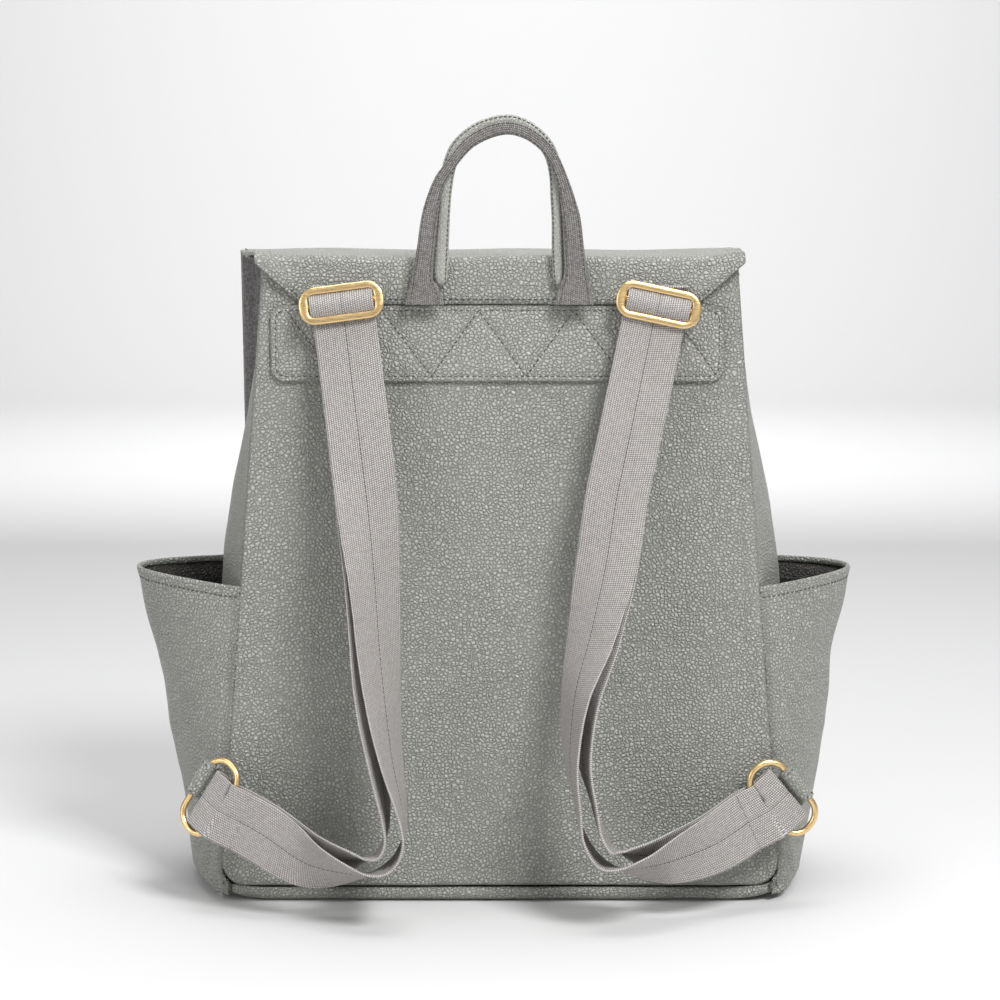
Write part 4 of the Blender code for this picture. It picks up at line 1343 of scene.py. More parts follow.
@dataclass
class Yoke:
    """Stitched patch that anchors the straps, the handle and the flap."""

    finishes: Finishes
    corner: float = 0.008
    border: float = 0.0034
    step: float = 0.0014
    puff: float = 0.0009
    peaks: tuple[float, ...] = (-0.1300, -0.0720, -0.0130, 0.0450, 0.1035)
    feet: tuple[float, ...] = (-0.1016, -0.0420, 0.0160, 0.0750, 0.1330)

    def zigzag(self) -> list[tuple[float, float]]:
        """Corners of the zigzag seam from the left to the right."""
        low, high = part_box("yoke")
        top, bottom = high.z - self.border, low.z + self.border
        corners: list[tuple[float, float]] = [(low.x + self.border, low.z + 0.6 * (high.z - low.z))]
        for peak, foot in zip(self.peaks, self.feet):
            corners += [(peak, top), (foot, bottom)]
        return corners[1:]

    def surface(self, x: float, z: float) -> float:
        """Y of the yoke's outer face, pulled in along its seams.

        Args:
            x: place across.
            z: height.

        Returns:
            The Y.
        """
        low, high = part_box("yoke")
        depth = min(x - low.x, high.x - x, z - low.z, high.z - z)
        line = self.zigzag()
        near = min(to_segment((x, z), a, b) for a, b in zip(line, line[1:]))
        puff = self.puff * (1.0 - 0.9 * bell(near, 0.0040)) * (1.0 - 0.8 * bell(depth - self.border, 0.0030))
        ditch = 0.00045 * bell(near, 0.0012) + 0.00045 * bell(depth - self.border, 0.0011)
        swell = drift(Vector((x, 0.7, z)), 0.022, 0.0004, 4.0)
        return low.y - puff + ditch + swell * 0.6

    def build(self) -> None:
        """Build the patch and its stitches."""
        low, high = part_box("yoke")
        cut = PatchCut(low.z, high.z, lambda z: low.x, lambda z: high.x, self.corner, self.corner)
        patch = sew_patch("leather_yoke", cut, self.surface, lambda x, z: high.y, self.step, 0.0018, -1.0,
                          lambda x, z, d: 0.0)
        dress(patch, self.finishes.yoke)
        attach(patch, Body.BAG.value)
        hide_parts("yoke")
        border = rounded_loop(low.x + self.border, high.x - self.border, low.z + self.border,
                              high.z - self.border, self.corner - self.border * 0.6)
        seams = [flat_seam(border, self.surface, OUT_BACK), flat_seam(self.zigzag(), self.surface, OUT_BACK)]
        stitches = LEATHER_STITCH.sew("stitches_yoke", seams)
        dress(stitches, self.finishes.thread)
        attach(stitches, Body.BAG.value)


@dataclass(frozen=True)
class FlapStation:
    """A line across the flap: its place along the section and its two ends."""

    y: float
    z: float
    left: float
    right: float


@dataclass
class Flap:
    """Flap that is sewn above the yoke, folds over the mouth and hangs down the front."""

    form: BagForm
    finishes: Finishes
    step: float = 0.0030
    thick: float = 0.0023
    lining_space: float = 0.0003
    lining_thick: float = 0.0008
    fold: float = 0.0046
    hem: float = 0.0036
    corner: float = 0.014
    sag: float = 0.0011
    ridge_z: float = 0.4065

    def section(self) -> list[FlapStation]:
        """Stations along the outer face from the sewn edge to the hanging edge."""
        strip_low, strip_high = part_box("flap_strip")
        top_low, top_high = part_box("flap_top_panel")
        drop_low, drop_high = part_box("flap_front_panel")
        half_low = max(v.co.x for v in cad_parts["flap_strip"].data.vertices
                       if v.co.z < strip_low.z + 0.001)
        half_top = strip_high.x
        back = strip_low.y - 0.0004
        stations = []
        for k in range(9):
            z = strip_low.z + 0.0002 + (top_high.z - self.fold - strip_low.z) * k / 8
            share = (z - strip_low.z) / (strip_high.z - strip_low.z)
            half = half_low + (half_top - half_low) * min(share, 1.0)
            stations.append(FlapStation(back - 0.0010 * math.sin(math.pi * k / 8), z, -half, half))
        for k in range(1, 7):
            a = math.pi / 2.0 * k / 6
            stations.append(FlapStation(back + self.fold * (1.0 - math.cos(a)),
                                        top_high.z - self.fold * (1.0 - math.sin(a)),
                                        -half_top - 0.0010 * k / 6, half_top))
        drop_y = drop_high.y - self.form.front(drop_low.z)
        edge = self.form.front(top_high.z) + drop_y - 0.0003
        start = back + self.fold
        for k in range(1, 30):
            share = k / 30
            y = start + (edge - self.fold - start) * share
            stations.append(FlapStation(y, top_high.z - self.sag * math.sin(math.pi * share),
                                        -half_top - 0.001 + (top_low.x + half_top + 0.001) * share,
                                        half_top + (top_high.x - half_top) * share))
        for k in range(7):
            a = math.pi / 2.0 * k / 6
            stations.append(FlapStation(edge - self.fold + self.fold * math.sin(a),
                                        top_high.z - self.fold * (1.0 - math.cos(a)), top_low.x, top_high.x))
        for k in range(1, 33):
            z = top_high.z - self.fold + (drop_low.z - top_high.z + self.fold) * k / 32
            stations.append(FlapStation(self.form.front(z) + drop_y - 0.0003, z, top_low.x,
                                        top_high.x - 0.002 * k / 32))
        return stations

    def sheet(self, name: str, stations: Sequence[FlapStation], offset: float, thick: float, trim: float,
              soft: float, free_end: bool) -> bpy.types.Object:
        """Lay one layer of the flap over its section.

        Args:
            name: the object's name.
            stations: the part of the section that it covers.
            offset: distance inside the flap's outer face.
            thick: thickness of the layer.
            trim: how far its sides stand in from the flap's.
            soft: how strongly it waves.
            free_end: whether the last station is the hanging edge, with rounded corners.

        Returns:
            The object.
        """
        face, rear, marks, cloth = [], [], [], []
        walked = 0.0
        total = sum(math.dist((a.y, a.z), (b.y, b.z)) for a, b in zip(stations, stations[1:]))
        for i, here in enumerate(stations):
            before, after = stations[max(i - 1, 0)], stations[min(i + 1, len(stations) - 1)]
            line = Vector((0.0, after.y - before.y, after.z - before.z)).normalized()
            out = Vector((0.0, -line.z, line.y))
            if i:
                walked += math.dist((here.y, here.z), (before.y, before.z))
            left_over = total - walked
            lifts = here.z < self.ridge_z and here.y < 0.0
            cut = 0.0
            if free_end and left_over < self.corner:
                cut = self.corner - math.sqrt(max(0.0, self.corner ** 2 - (self.corner - left_over) ** 2))
            left, right = here.left + trim + cut, here.right - trim - cut
            rows = [[], [], [], []]
            for x in spaced(left, right, 96):
                depth = min(x - here.left - trim, here.right - trim - x)
                if free_end:
                    depth = min(depth, left_over)
                place = Vector((x, here.y, here.z))
                wave = drift(place, 0.060, 0.0011, 7.0) + drift(place, 0.024, 0.0004, 9.0)
                ridge = bell(here.z - 0.4067, 0.004) * (0.0006 * math.sin(x * 47.0 + 0.6))
                hem = 0.0004 * bell(depth - 1.8 * self.hem, 0.003) - 0.0004 * bell(depth - self.hem, 0.0012)
                flare = 0.0026 * (1.0 - ease(depth / 0.022)) * ease((walked - 0.004) / 0.018) if lifts else 0.0
                rise = soft * (0.55 * wave + ridge + flare) + (hem if soft else 0.0)
                lift = rise - offset
                rows[0].append(place + out * (lift - roll(depth, thick * 0.5)))
                rows[1].append(place + out * (lift - thick + roll(depth, thick * 0.45)))
                # painted shade near the flap's edges
                rows[2].append(bell(depth, SEAM_SHADE_FADE * 0.6))
                rows[3].append((x, walked))
            face.append(rows[0])
            rear.append(rows[1])
            marks.append(rows[2])
            cloth.append(rows[3])
        return quilt_rows(name, face, rear, cloth, marks)

    def hem_seams(self, stations: Sequence[FlapStation], along_ends: Sequence[int]) -> list[Seam]:
        """Seams along both side edges, and across at the given stations.

        Args:
            stations: part of the section.
            along_ends: stations that have a seam across.

        Returns:
            The seams.
        """
        seams: list[Seam] = []
        sides: tuple[Seam, Seam] = ([], [])
        for i, here in enumerate(stations):
            before, after = stations[max(i - 1, 0)], stations[min(i + 1, len(stations) - 1)]
            line = Vector((0.0, after.y - before.y, after.z - before.z)).normalized()
            out = Vector((0.0, -line.z, line.y))
            for side, x in zip(sides, (here.left + self.hem, here.right - self.hem)):
                side.append((Vector((x, here.y, here.z)) + out * 0.0001, out))
            if i in along_ends:
                count = 140
                seams.append([(Vector((here.left + self.hem + (here.right - here.left - 2 * self.hem) * k / count,
                                       here.y, here.z)) + out * 0.0002, out) for k in range(count + 1)])
        return seams + list(sides)

    def build(self) -> None:
        """Build both halves of the flap, its lining, hems, tab and snap."""
        stations = self.section()
        middle = next(i for i, s in enumerate(stations) if s.z > 0.40 and s.y > -0.02)
        back, front = stations[:middle + 1], stations[middle:]
        top_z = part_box("flap_top_panel")[1].z
        over_back = (Body.BAG.value, Body.FLAP_TOP.value, (0.0, -0.0775, top_z - 0.0080),
                     (0.0, -0.0705, top_z + 0.0001))
        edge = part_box("flap_front_panel")
        over_front = (Body.FLAP_TOP.value, Body.FLAP_FRONT.value, (0.0, 0.0370, top_z),
                      (0.0, 0.0455, top_z - 0.0070))
        cover = self.sheet("leather_flap_back", back, 0.0, self.thick, 0.0, 1.0, False)
        dress(cover, self.finishes.leather)
        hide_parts("flap_strip", "flap_top_panel")
        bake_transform(cover)
        drop = self.sheet("leather_flap_front", front, 0.0, self.thick, 0.0, 1.0, True)
        dress(drop, self.finishes.leather)
        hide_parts("flap_front_panel")
        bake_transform(drop)
        self.build_linings(back, front, over_back, over_front)
        for name, part, ends, bend in (("stitches_flap_back", back, (1,), over_back),
                                       ("stitches_flap_front", front, (len(front) - 3,), over_front)):
            thread = LEATHER_STITCH.sew(name, self.hem_seams(part, ends))
            dress(thread, self.finishes.thread)
            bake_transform(thread)
        self.build_tab(edge)

    def build_linings(self, back: Sequence[FlapStation], front: Sequence[FlapStation],
                      over_back: tuple, over_front: tuple) -> None:
        """Lining cloth under both halves of the flap.

        Args:
            back: stations of the back half.
            front: stations of the front half.
            over_back: the blend of the back half; not used.
            over_front: the blend of the front half; not used.
        """
        inside = self.thick + self.lining_space
        ridge = next(i for i, s in enumerate(back) if s.y > -0.0728)
        for name, part, bend, node, free in (
                ("lining_flap_back", back[ridge:], over_back, "flap_top_lining", False),
                ("lining_flap_front", front, over_front, "flap_front_lining", True)):
            cloth = self.sheet(name, part, inside, self.lining_thick, 0.0012, 0.55, free)
            dress(cloth, self.finishes.lining)
            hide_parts(node)
            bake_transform(cloth)

    def build_tab(self, edge: tuple[Vector, Vector]) -> None:
        """Closure tab on the drop, with its stitches, and the snap's two halves.

        Args:
            edge: the drop's box.
        """
        low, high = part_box("closure_tab")
        lean = self.form.front(low.z) - self.form.front(high.z)
        face_low = high.y

        def tab_y(x: float, z: float) -> float:
            """Y of the tab's outer face."""
            return face_low - lean * (z - low.z) / (high.z - low.z) + 0.0004

        cut = PatchCut(low.z, high.z, lambda z: low.x, lambda z: high.x, 0.012, 0.006)
        tab = sew_patch("leather_tab", cut, tab_y, lambda x, z: tab_y(x, z) - 0.0023, 0.0016, 0.0010, 1.0,
                        lambda x, z, d: 0.0006 * ease(d / 0.012) - 0.0004 * bell(d - self.hem, 0.0012))
        dress(tab, self.finishes.leather)
        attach(tab, Body.FLAP_FRONT.value)
        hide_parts("closure_tab")
        loop = rounded_loop(low.x + self.hem, high.x - self.hem, low.z + self.hem, high.z - self.hem, 0.005)
        thread = LEATHER_STITCH.sew("stitches_tab", [flat_seam(loop, lambda x, z: tab_y(x, z) + 0.0002,
                                                               Vector((0.0, 1.0, 0.0)))])
        dress(thread, self.finishes.thread)
        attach(thread, Body.FLAP_FRONT.value)
        for node in ("snap_stud", "snap_socket"):
            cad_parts[node].data.materials[0] = self.finishes.gold


# ---------------------------------------------------------------- side pockets


@dataclass
class Pocket:
    """Open side pocket with a rolled bottom, a hemmed rim and soft folds."""

    side: Side
    form: BagForm
    finishes: Finishes
    fullness: float = 1.0
    rim: float = 0.2002
    floor: float = 0.0040
    thick: float = 0.0020
    seam: float = 0.0030
    curl: float = 0.0080
    edge: float = 0.0008
    edge_reach: float = 0.006
    tuck: float = 0.0125
    tuck_reach: float = 0.015
    hem: float = 0.0044
    reach: tuple[tuple[float, float], ...] = ((0.004, 0.0240), (0.050, 0.0320), (0.100, 0.0450),
                                              (0.150, 0.0570), (0.204, 0.0730))
    folds: tuple[Fold, ...] = (Fold((0.004, 0.060), (0.016, 0.018), 0.0040, 0.0032),
                               Fold((0.002, 0.045), (0.030, 0.030), 0.0045, 0.0022),
                               Fold((0.040, 0.170), (0.050, 0.060), 0.0120, 0.0016),
                               Fold((0.100, 0.180), (0.085, 0.050), 0.0140, 0.0016))

    def span(self, z: float) -> float:
        """How far the pocket reaches out of the body at its middle."""
        for (z0, r0), (z1, r1) in zip(self.reach, self.reach[1:]):
            if z <= z1:
                return self.fullness * (r0 + (r1 - r0) * (z - z0) / (z1 - z0) - self.seam)
        return self.fullness * (self.reach[-1][1] - self.seam)

    def place(self, share: float, z: float, inset: float = 0.0) -> Vector:
        """A point of the pocket's wall.

        Args:
            share: 0 at the back seam, 1 at the front seam.
            z: height.
            inset: distance inside the outer face.

        Returns:
            The point.
        """
        start, end = self.form.back + 0.0015, self.form.front(z) - 0.0015
        y = start + (end - start) * share
        bow = math.sin(math.pi * share)
        across = y - start
        near = min(across, end - y)
        low = max(self.tuck - max(z - self.form.base_height, 0.0), 0.0)
        cut = self.tuck - math.sqrt(self.tuck ** 2 - low ** 2)
        x = self.form.half(z) + self.edge + (self.seam - self.edge) * ease(near / self.edge_reach)
        x = x + self.span(z) * bow
        x -= cut * (1.0 - ease(near / self.tuck_reach))
        free = ease(across / 0.006) * ease((end - y) / 0.006)
        soft = drift(Vector((self.side.sign, y, z)), 0.040, 0.0018, 11.0) * bow
        soft += drift(Vector((self.side.sign, y, z)), 0.016, 0.0006, 13.0) * bow
        soft -= sum(fold.at(across, z) for fold in self.folds) * free
        calm = 1.0 - 0.7 * ease((z - self.rim + 0.02) / 0.02)
        return Vector((self.side.sign * (x + soft * calm - inset), y, z))

    def rim_at(self, share: float) -> float:
        """Height of the mouth, a little higher at its middle."""
        return self.rim - 0.001 + 0.004 * math.sin(math.pi * share)

    def wall_profile(self, share: float) -> tuple[list[Vector], list[float]]:
        """One closed cross-section of the pocket's cloth.

        Args:
            share: 0 at the back seam, 1 at the front seam.

        Returns:
            The ring of points and their seam marks.
        """
        top = self.rim_at(share)
        bottom = self.floor + self.curl
        heights = [top - 0.0006 * k for k in range(16)]
        heights += [heights[-1] + (bottom - heights[-1]) * k / 62 for k in range(1, 63)]
        ring, marks = [], []
        for z in heights:
            point = self.place(share, z)
            below = top - z
            ditch = 0.00045 * bell(below - self.hem, 0.0010) - 0.0003 * bell(below - 0.5 * self.hem, 0.0018)
            ring.append(point - Vector((self.side.sign * ditch, 0.0, 0.0)))
            # faint painted shade in the ditch under the hem
            marks.append(0.35 * bell(top - z - self.hem, 0.0010))
        root = max(self.form.half(self.floor) + 0.0034, self.form.half_base + 0.0006)
        low = abs(self.place(share, bottom).x)
        root = min(root, low - 0.0006)
        curl = min(self.curl, max(0.0, low - root) + 0.0004)
        for k in range(1, 7):
            # the bottom curl, the floor and the inner wall carry painted shade marks that darken the pocket's inside
            a = math.pi / 2.0 * k / 6
            ring.append(Vector((self.side.sign * (low - curl * (1.0 - math.cos(a))), ring[-1].y,
                                bottom - self.curl * math.sin(a))))
            marks.append(0.5 * k / 6)
        y = ring[-1].y
        ring += [Vector((self.side.sign * root, y, self.floor)),
                 Vector((self.side.sign * root, y, self.floor + self.thick))]
        marks += [0.9, 0.9]
        inner_curl = max(curl - self.thick, 0.0002)
        for k in range(5):
            a = math.pi / 2.0 * (1.0 - k / 4)
            ring.append(Vector((self.side.sign * (low - self.thick - inner_curl * (1.0 - math.cos(a))), y,
                                bottom - (self.curl - self.thick) * math.sin(a))))
            marks.append(0.8)
        for k in range(29):
            z = bottom + (top - bottom) * (k + 1) / 30
            hem = 0.0006 if top - z < 0.014 else 0.0
            point = self.place(share, z, self.thick + hem)
            ring.append(point)
            marks.append(0.4)
        return ring, marks

    def build(self) -> None:
        """Build the pocket, its rolled rim and its stitches."""
        name = self.side.value
        shares = [s / 0.1400 for s in spaced(0.0, 0.1400, 60)]
        rings = [self.wall_profile(share) for share in shares]
        # painted shade also near the back and front seams
        wall = skin_rows(f"leather_pocket_{name}", [ring for ring, _ in rings],
                         marks=[[max(m, bell(min(share, 1.0 - share) * 0.14, 0.003)) for m in marks]
                                for share, (_, marks) in zip(shares, rings)])
        dress(wall, self.finishes.leather)
        # inward faces take the darker leather copy, painted shade inside the pocket
        wall.data.materials.append(self.finishes.inner)
        for face in wall.data.polygons:
            centre = face.center
            inward = face.normal.x * self.side.sign < -0.25
            if inward and centre.z > self.floor + self.thick * 0.9:
                face.material_index = 1
        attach(wall, Body.BAG.value)
        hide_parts(f"{name}_pocket")
        self.build_rim(shares)

    def build_rim(self, shares: Sequence[float]) -> None:
        """Rolled edge round the mouth and the two rows of stitches under it.

        Args:
            shares: places across the pocket.
        """
        name = self.side.value
        rings: Rows = []
        outer: Seam = []
        inner: Seam = []
        out = Vector((self.side.sign, 0.0, 0.0))
        for share in shares:
            top = self.rim_at(share)
            centre = self.place(share, top, self.thick * 0.5)
            rings.append([centre + Vector((self.side.sign * 0.00145 * math.cos(a), 0.0,
                                           0.0006 + 0.0021 * math.sin(a)))
                          for a in [2.0 * math.pi * k / 12 for k in range(12)]])
            line = top - self.hem
            outer.append((self.place(share, line) - out * 0.0003, out))
            inner.append((self.place(share, top - 0.0125, self.thick + 0.0007), -out))
        rim = skin_rows(f"leather_rim_{name}", rings)
        dress(rim, self.finishes.leather)
        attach(rim, Body.BAG.value)
        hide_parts(f"{name}_pocket_binding")
        thread = LEATHER_STITCH.sew(f"stitches_pocket_{name}", [outer, inner])
        dress(thread, self.finishes.thread)
        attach(thread, Body.BAG.value)


# ---------------------------------------------------------------- straps


@dataclass(frozen=True)
class StrapRoute:
    """Stations of one strap: centre, twist in degrees and distance to the rear layer."""

    side: Side
    stations: tuple[tuple[float, float, float, float, float], ...]
    finest: int = 12

    def basis(self, route: Sequence[tuple[float, ...]], index: int) -> tuple[Vector, Vector, Vector]:
        """Centre, width direction and facing direction at one point.

        Args:
            route: the smoothed route.
            index: which point.

        Returns:
            The three vectors.
        """
        here = Vector(route[index][:3])
        line = (Vector(route[min(index + 1, len(route) - 1)][:3])
                - Vector(route[max(index - 1, 0)][:3])).normalized()
        flat = math.hypot(line.x, line.z)
        across = Vector((-line.z / flat, 0.0, line.x / flat))
        twist = math.radians(route[index][3])
        width = across * math.cos(twist) - Vector((0.0, self.side.sign * math.sin(twist), 0.0))
        width = (width - line * width.dot(line)).normalized()
        return here, width, line.cross(width)

    def down(self) -> Vector:
        """Direction of the straight upper run."""
        return (Vector(self.stations[1][:3]) - Vector(self.stations[0][:3])).normalized()


LEFT_ROUTE = StrapRoute(Side.LEFT, (
    (-0.0950, -0.0860, 0.3745, 0, 0.0030), (-0.0838, -0.1060, 0.2900, 0, 0.0030),
    (-0.0800, -0.1120, 0.2600, 14, 0.0034), (-0.0763, -0.1170, 0.2210, 36, 0.0042),
    (-0.0738, -0.1205, 0.1830, 47, 0.0055), (-0.0706, -0.1230, 0.1450, 58, 0.0070),
    (-0.0656, -0.1250, 0.1060, 73, 0.0085), (-0.0597, -0.1260, 0.0720, 86, 0.0100),
    (-0.0590, -0.1260, 0.0540, 90, 0.0110), (-0.0660, -0.1260, 0.0400, 88, 0.0110),
    (-0.0790, -0.1255, 0.0340, 76, 0.0100), (-0.0960, -0.1240, 0.0345, 54, 0.0080),
    (-0.1200, -0.1190, 0.0395, 22, 0.0055), (-0.1450, -0.1100, 0.0535, 3, 0.0052),
    (-0.1625, -0.1020, 0.0610, 0, 0.0064)))
RIGHT_ROUTE = StrapRoute(Side.RIGHT, (
    (0.0945, -0.0860, 0.3745, 0, 0.0030), (0.0765, -0.1005, 0.2900, 0, 0.0030),
    (0.0701, -0.1050, 0.2600, 4, 0.0034), (0.0640, -0.1105, 0.2210, 19, 0.0042),
    (0.0559, -0.1150, 0.1830, 43, 0.0055), (0.0462, -0.1195, 0.1450, 66, 0.0070),
    (0.0427, -0.1230, 0.1060, 78, 0.0085), (0.0465, -0.1250, 0.0750, 86, 0.0100),
    (0.0505, -0.1260, 0.0560, 90, 0.0110), (0.0600, -0.1260, 0.0420, 88, 0.0110),
    (0.0730, -0.1258, 0.0375, 74, 0.0100), (0.0890, -0.1245, 0.0380, 54, 0.0080),
    (0.1080, -0.1195, 0.0412, 28, 0.0055), (0.1338, -0.1070, 0.0480, 5, 0.0050),
    (0.1560, -0.0930, 0.0585, 0, 0.0064)))


@dataclass(frozen=True)
class TapeSection:
    """Cross-section of woven tape: thick selvedges and a sewn groove in the middle."""

    width: float = 0.038
    thick: float = 0.0016
    selvedge: float = 0.14
    groove: float = 0.00038
    places: tuple[float, ...] = (-1.0, -0.975, -0.93, -0.87, -0.65, -0.40, -0.18, -0.06, -0.025, 0.0,
                                 0.025, 0.06, 0.18, 0.40, 0.65, 0.87, 0.93, 0.975, 1.0)

    def half_thick(self, a: float) -> float:
        """Half thickness at a place from -1 to 1 across the tape."""
        round_off = math.sqrt(max(0.0, 1.0 - ((abs(a) - 0.95) / 0.05) ** 2)) if abs(a) > 0.95 else 1.0
        bead = 1.0 + self.selvedge * bell(abs(a) - 0.93, 0.05)
        return max(0.5 * self.thick * bead * round_off - self.groove * bell(a, 0.03), 0.00012)

    def ring(self, centre: Vector, width: Vector, face: Vector, along: float,
             cup: float = 0.0) -> tuple[list[Vector], list[tuple[float, float]], list[float]]:
        """One closed section of the tape.

        Args:
            centre: middle of the tape.
            width: direction across it.
            face: the way it faces.
            along: distance along the tape.
            cup: how far its edges bend back.

        Returns:
            The points, their cloth places and their painted shade marks.
        """
        half = self.width / 2.0
        ripple = 0.00022 * noise.noise(Vector((along / 0.011, self.width * 9.0, 1.0)))
        points, cloth, marks = [], [], []
        for sign in (1.0, -1.0):
            for a in (self.places if sign > 0 else tuple(reversed(self.places))):
                bend = -cup * a * a
                centre_line = centre + width * (a * (half + ripple)) + face * bend
                points.append(centre_line + face * (sign * self.half_thick(a)))
                cloth.append((a * half, along))
                # painted shade in the sewn groove and, fainter, at the selvedges
                marks.append(0.85 * bell(a, 0.022) + 0.35 * bell(abs(a) - 1.0, 0.03))
        return points, cloth, marks


@dataclass
class Strap:
    """Shoulder strap: a face layer and the slack rear layer behind it."""

    route: StrapRoute
    finishes: Finishes
    section: TapeSection = TapeSection()

    def lay(self, name: str, behind: bool) -> tuple[bpy.types.Object, Seam]:
        """Lay one layer along the route.

        Args:
            name: the object's name.
            behind: whether it is the rear layer.

        Returns:
            The layer and the seam along its middle.
        """
        route = smooth_route(self.route.stations, self.route.finest)
        rows, cloth, marks, seam = [], [], [], []
        walked, before = 0.0, None
        for i in range(len(route)):
            centre, width, face = self.route.basis(route, i)
            if behind:
                centre = centre - face * route[i][4]
            walked += (centre - before).length if before is not None else 0.0
            before = centre.copy()
            start = ease(i / 10.0) * ease((len(route) - 1 - i) / 10.0)
            sway = 0.0007 * noise.noise(Vector((walked / 0.05, 3.0 if behind else 1.0, self.route.side.sign)))
            centre = centre + face * sway * start
            cup = 0.0012 * start * noise.noise(Vector((walked / 0.07, 5.0, self.route.side.sign)))
            ring, places, seams = self.section.ring(centre, width, face, walked, cup)
            rows.append(ring)
            cloth.append(places)
            marks.append(seams)
            seam.append((centre + face * (0.5 * self.section.thick - 0.00030), face))
        return skin_rows(name, rows, cloth=cloth, marks=marks), seam

    def build(self) -> None:
        """Build both layers with their stitches, bending into the side ring."""
        side = self.route.side.value
        for layer, behind in (("face", False), ("rear", True)):
            tape, seam = self.lay(f"webbing_{side}_{layer}", behind)
            dress(tape, self.finishes.webbing)
            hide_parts(f"{side}_strap_{layer}_upper", f"{side}_strap_{layer}_lower")
            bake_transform(tape)
            rear_side = [(place - up * (self.section.thick - 0.0006), -up) for place, up in seam]
            thread = TAPE_STITCH.sew(f"stitches_{side}_{layer}", [seam, rear_side])
            dress(thread, self.finishes.strap_thread)
            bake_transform(thread)


# ---------------------------------------------------------------- hardware


def plate_loop(half_x: float, half_z: float, radius: float, steps: int = 10,
               straight: int = 6) -> list[tuple[float, float]]:
    """A rounded rectangle round the origin with points along its straight sides.

    Args:
        half_x: half its width.
        half_z: half its height.
        radius: radius of its corners.
        steps: points for each corner.
        straight: points for each straight side.

    Returns:
        The points in order.
    """
    loop = rounded_loop(-half_x, half_x, -half_z, half_z, radius, steps)
    points = []
    for i, (a, b) in enumerate(zip(loop, loop[1:])):
        parts = straight if i % (steps + 1) == steps else 1
        points += [(a[0] + (b[0] - a[0]) * k / parts, a[1] + (b[1] - a[1]) * k / parts) for k in range(parts)]
    return points


@dataclass
class Slider:
    """Gold three-bar slider and the webbing that rises over its centre bar."""

    route: StrapRoute
    finishes: Finishes
    centre: tuple[float, float, float]
    tilt: float
    width: float = 0.052
    height: float = 0.023
    thick: float = 0.0028
    window: tuple[float, float] = (0.0395, 0.0140)
    section: TapeSection = TapeSection(width=0.0386, thick=0.0013)

    def basis(self) -> tuple[Vector, Vector, Vector, Vector]:
        """Centre, width, upward and facing directions of the slider."""
        down = self.route.down()
        turn = math.radians(self.tilt)
        width = Vector((math.cos(turn), 0.0, math.sin(turn)))
        width = (width - down * width.dot(down)).normalized()
        return Vector(self.centre), width, -down, down.cross(width)

    def build(self) -> None:
        """Build the frame, the bar and the webbing, all sliding together."""
        centre, width, up, face = self.basis()
        body = f"{self.route.side.value}_slider"
        outer = plate_loop(self.width / 2, self.height / 2, self.height / 2 - 0.0012)
        inner = plate_loop(self.window[0] / 2, self.window[1] / 2, 0.0028)
        rows = []
        for (ox, oz), (ix, iz) in zip(outer, inner):
            middle = ((ox + ix) / 2, (oz + iz) / 2)
            arm = ((ox - ix) / 2, (oz - iz) / 2)
            ring = []
            for k in range(16):
                a = 2.0 * math.pi * k / 16
                c, s = math.cos(a), math.sin(a)
                push = math.copysign(abs(c) ** 0.55, c)
                lift = math.copysign(abs(s) ** 0.75, s) * self.thick / 2
                ring.append(centre + width * (middle[0] + arm[0] * push) + up * (middle[1] + arm[1] * push)
                            + face * lift)
            rows.append(ring)
        plate = skin_rows(f"gold_{body}_frame", rows, looped=True)
        dress(plate, self.finishes.gold)
        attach(plate, body)
        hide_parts(f"{body}_frame")
        rows = []
        for k in range(9):
            middle = centre + width * (self.window[0] * (k / 8 - 0.5))
            girth = 1.0 + 0.25 * (abs(k / 8 - 0.5) * 2.0) ** 6
            rows.append([middle + up * 0.0014 * girth * math.cos(a) + face * 0.0011 * girth * math.sin(a)
                         for a in [2.0 * math.pi * i / 16 for i in range(16)]])
        bar = skin_rows(f"gold_{body}_bar", rows)
        dress(bar, self.finishes.gold)
        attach(bar, body)
        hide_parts(f"{body}_bar")
        self.build_web(body, centre, width, up, face)

    def build_web(self, body: str, centre: Vector, width: Vector, up: Vector, face: Vector) -> None:
        """Webbing from behind the top bar, over the centre bar, to behind the lower bar.

        Args:
            body: the body that it rides on.
            centre: the slider's centre.
            width: direction across the slider.
            up: direction of its top.
            face: the way it faces.
        """
        heights = ((-0.0110, -0.0030), (-0.0085, -0.0024), (-0.0064, -0.0006), (-0.0040, 0.0014),
                   (-0.0018, 0.0023), (0.0, 0.0026), (0.0018, 0.0023), (0.0040, 0.0014), (0.0064, -0.0006),
                   (0.0085, -0.0024), (0.0105, -0.0030))
        rows, cloth, marks = [], [], []
        walked, last = 0.0, heights[0]
        for place in smooth_route(heights, 5):
            walked += math.dist(place, last)
            last = place
            middle = centre + up * place[0] + face * (place[1] + 0.0002)
            ring, places, seams = self.section.ring(middle, width, face, -walked)
            rows.append(ring)
            cloth.append(places)
            marks.append(seams)
        tape = skin_rows(f"webbing_{body}", rows, cloth=cloth, marks=marks)
        dress(tape, self.finishes.webbing)
        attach(tape, body)
        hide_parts(f"{body}_webbing")


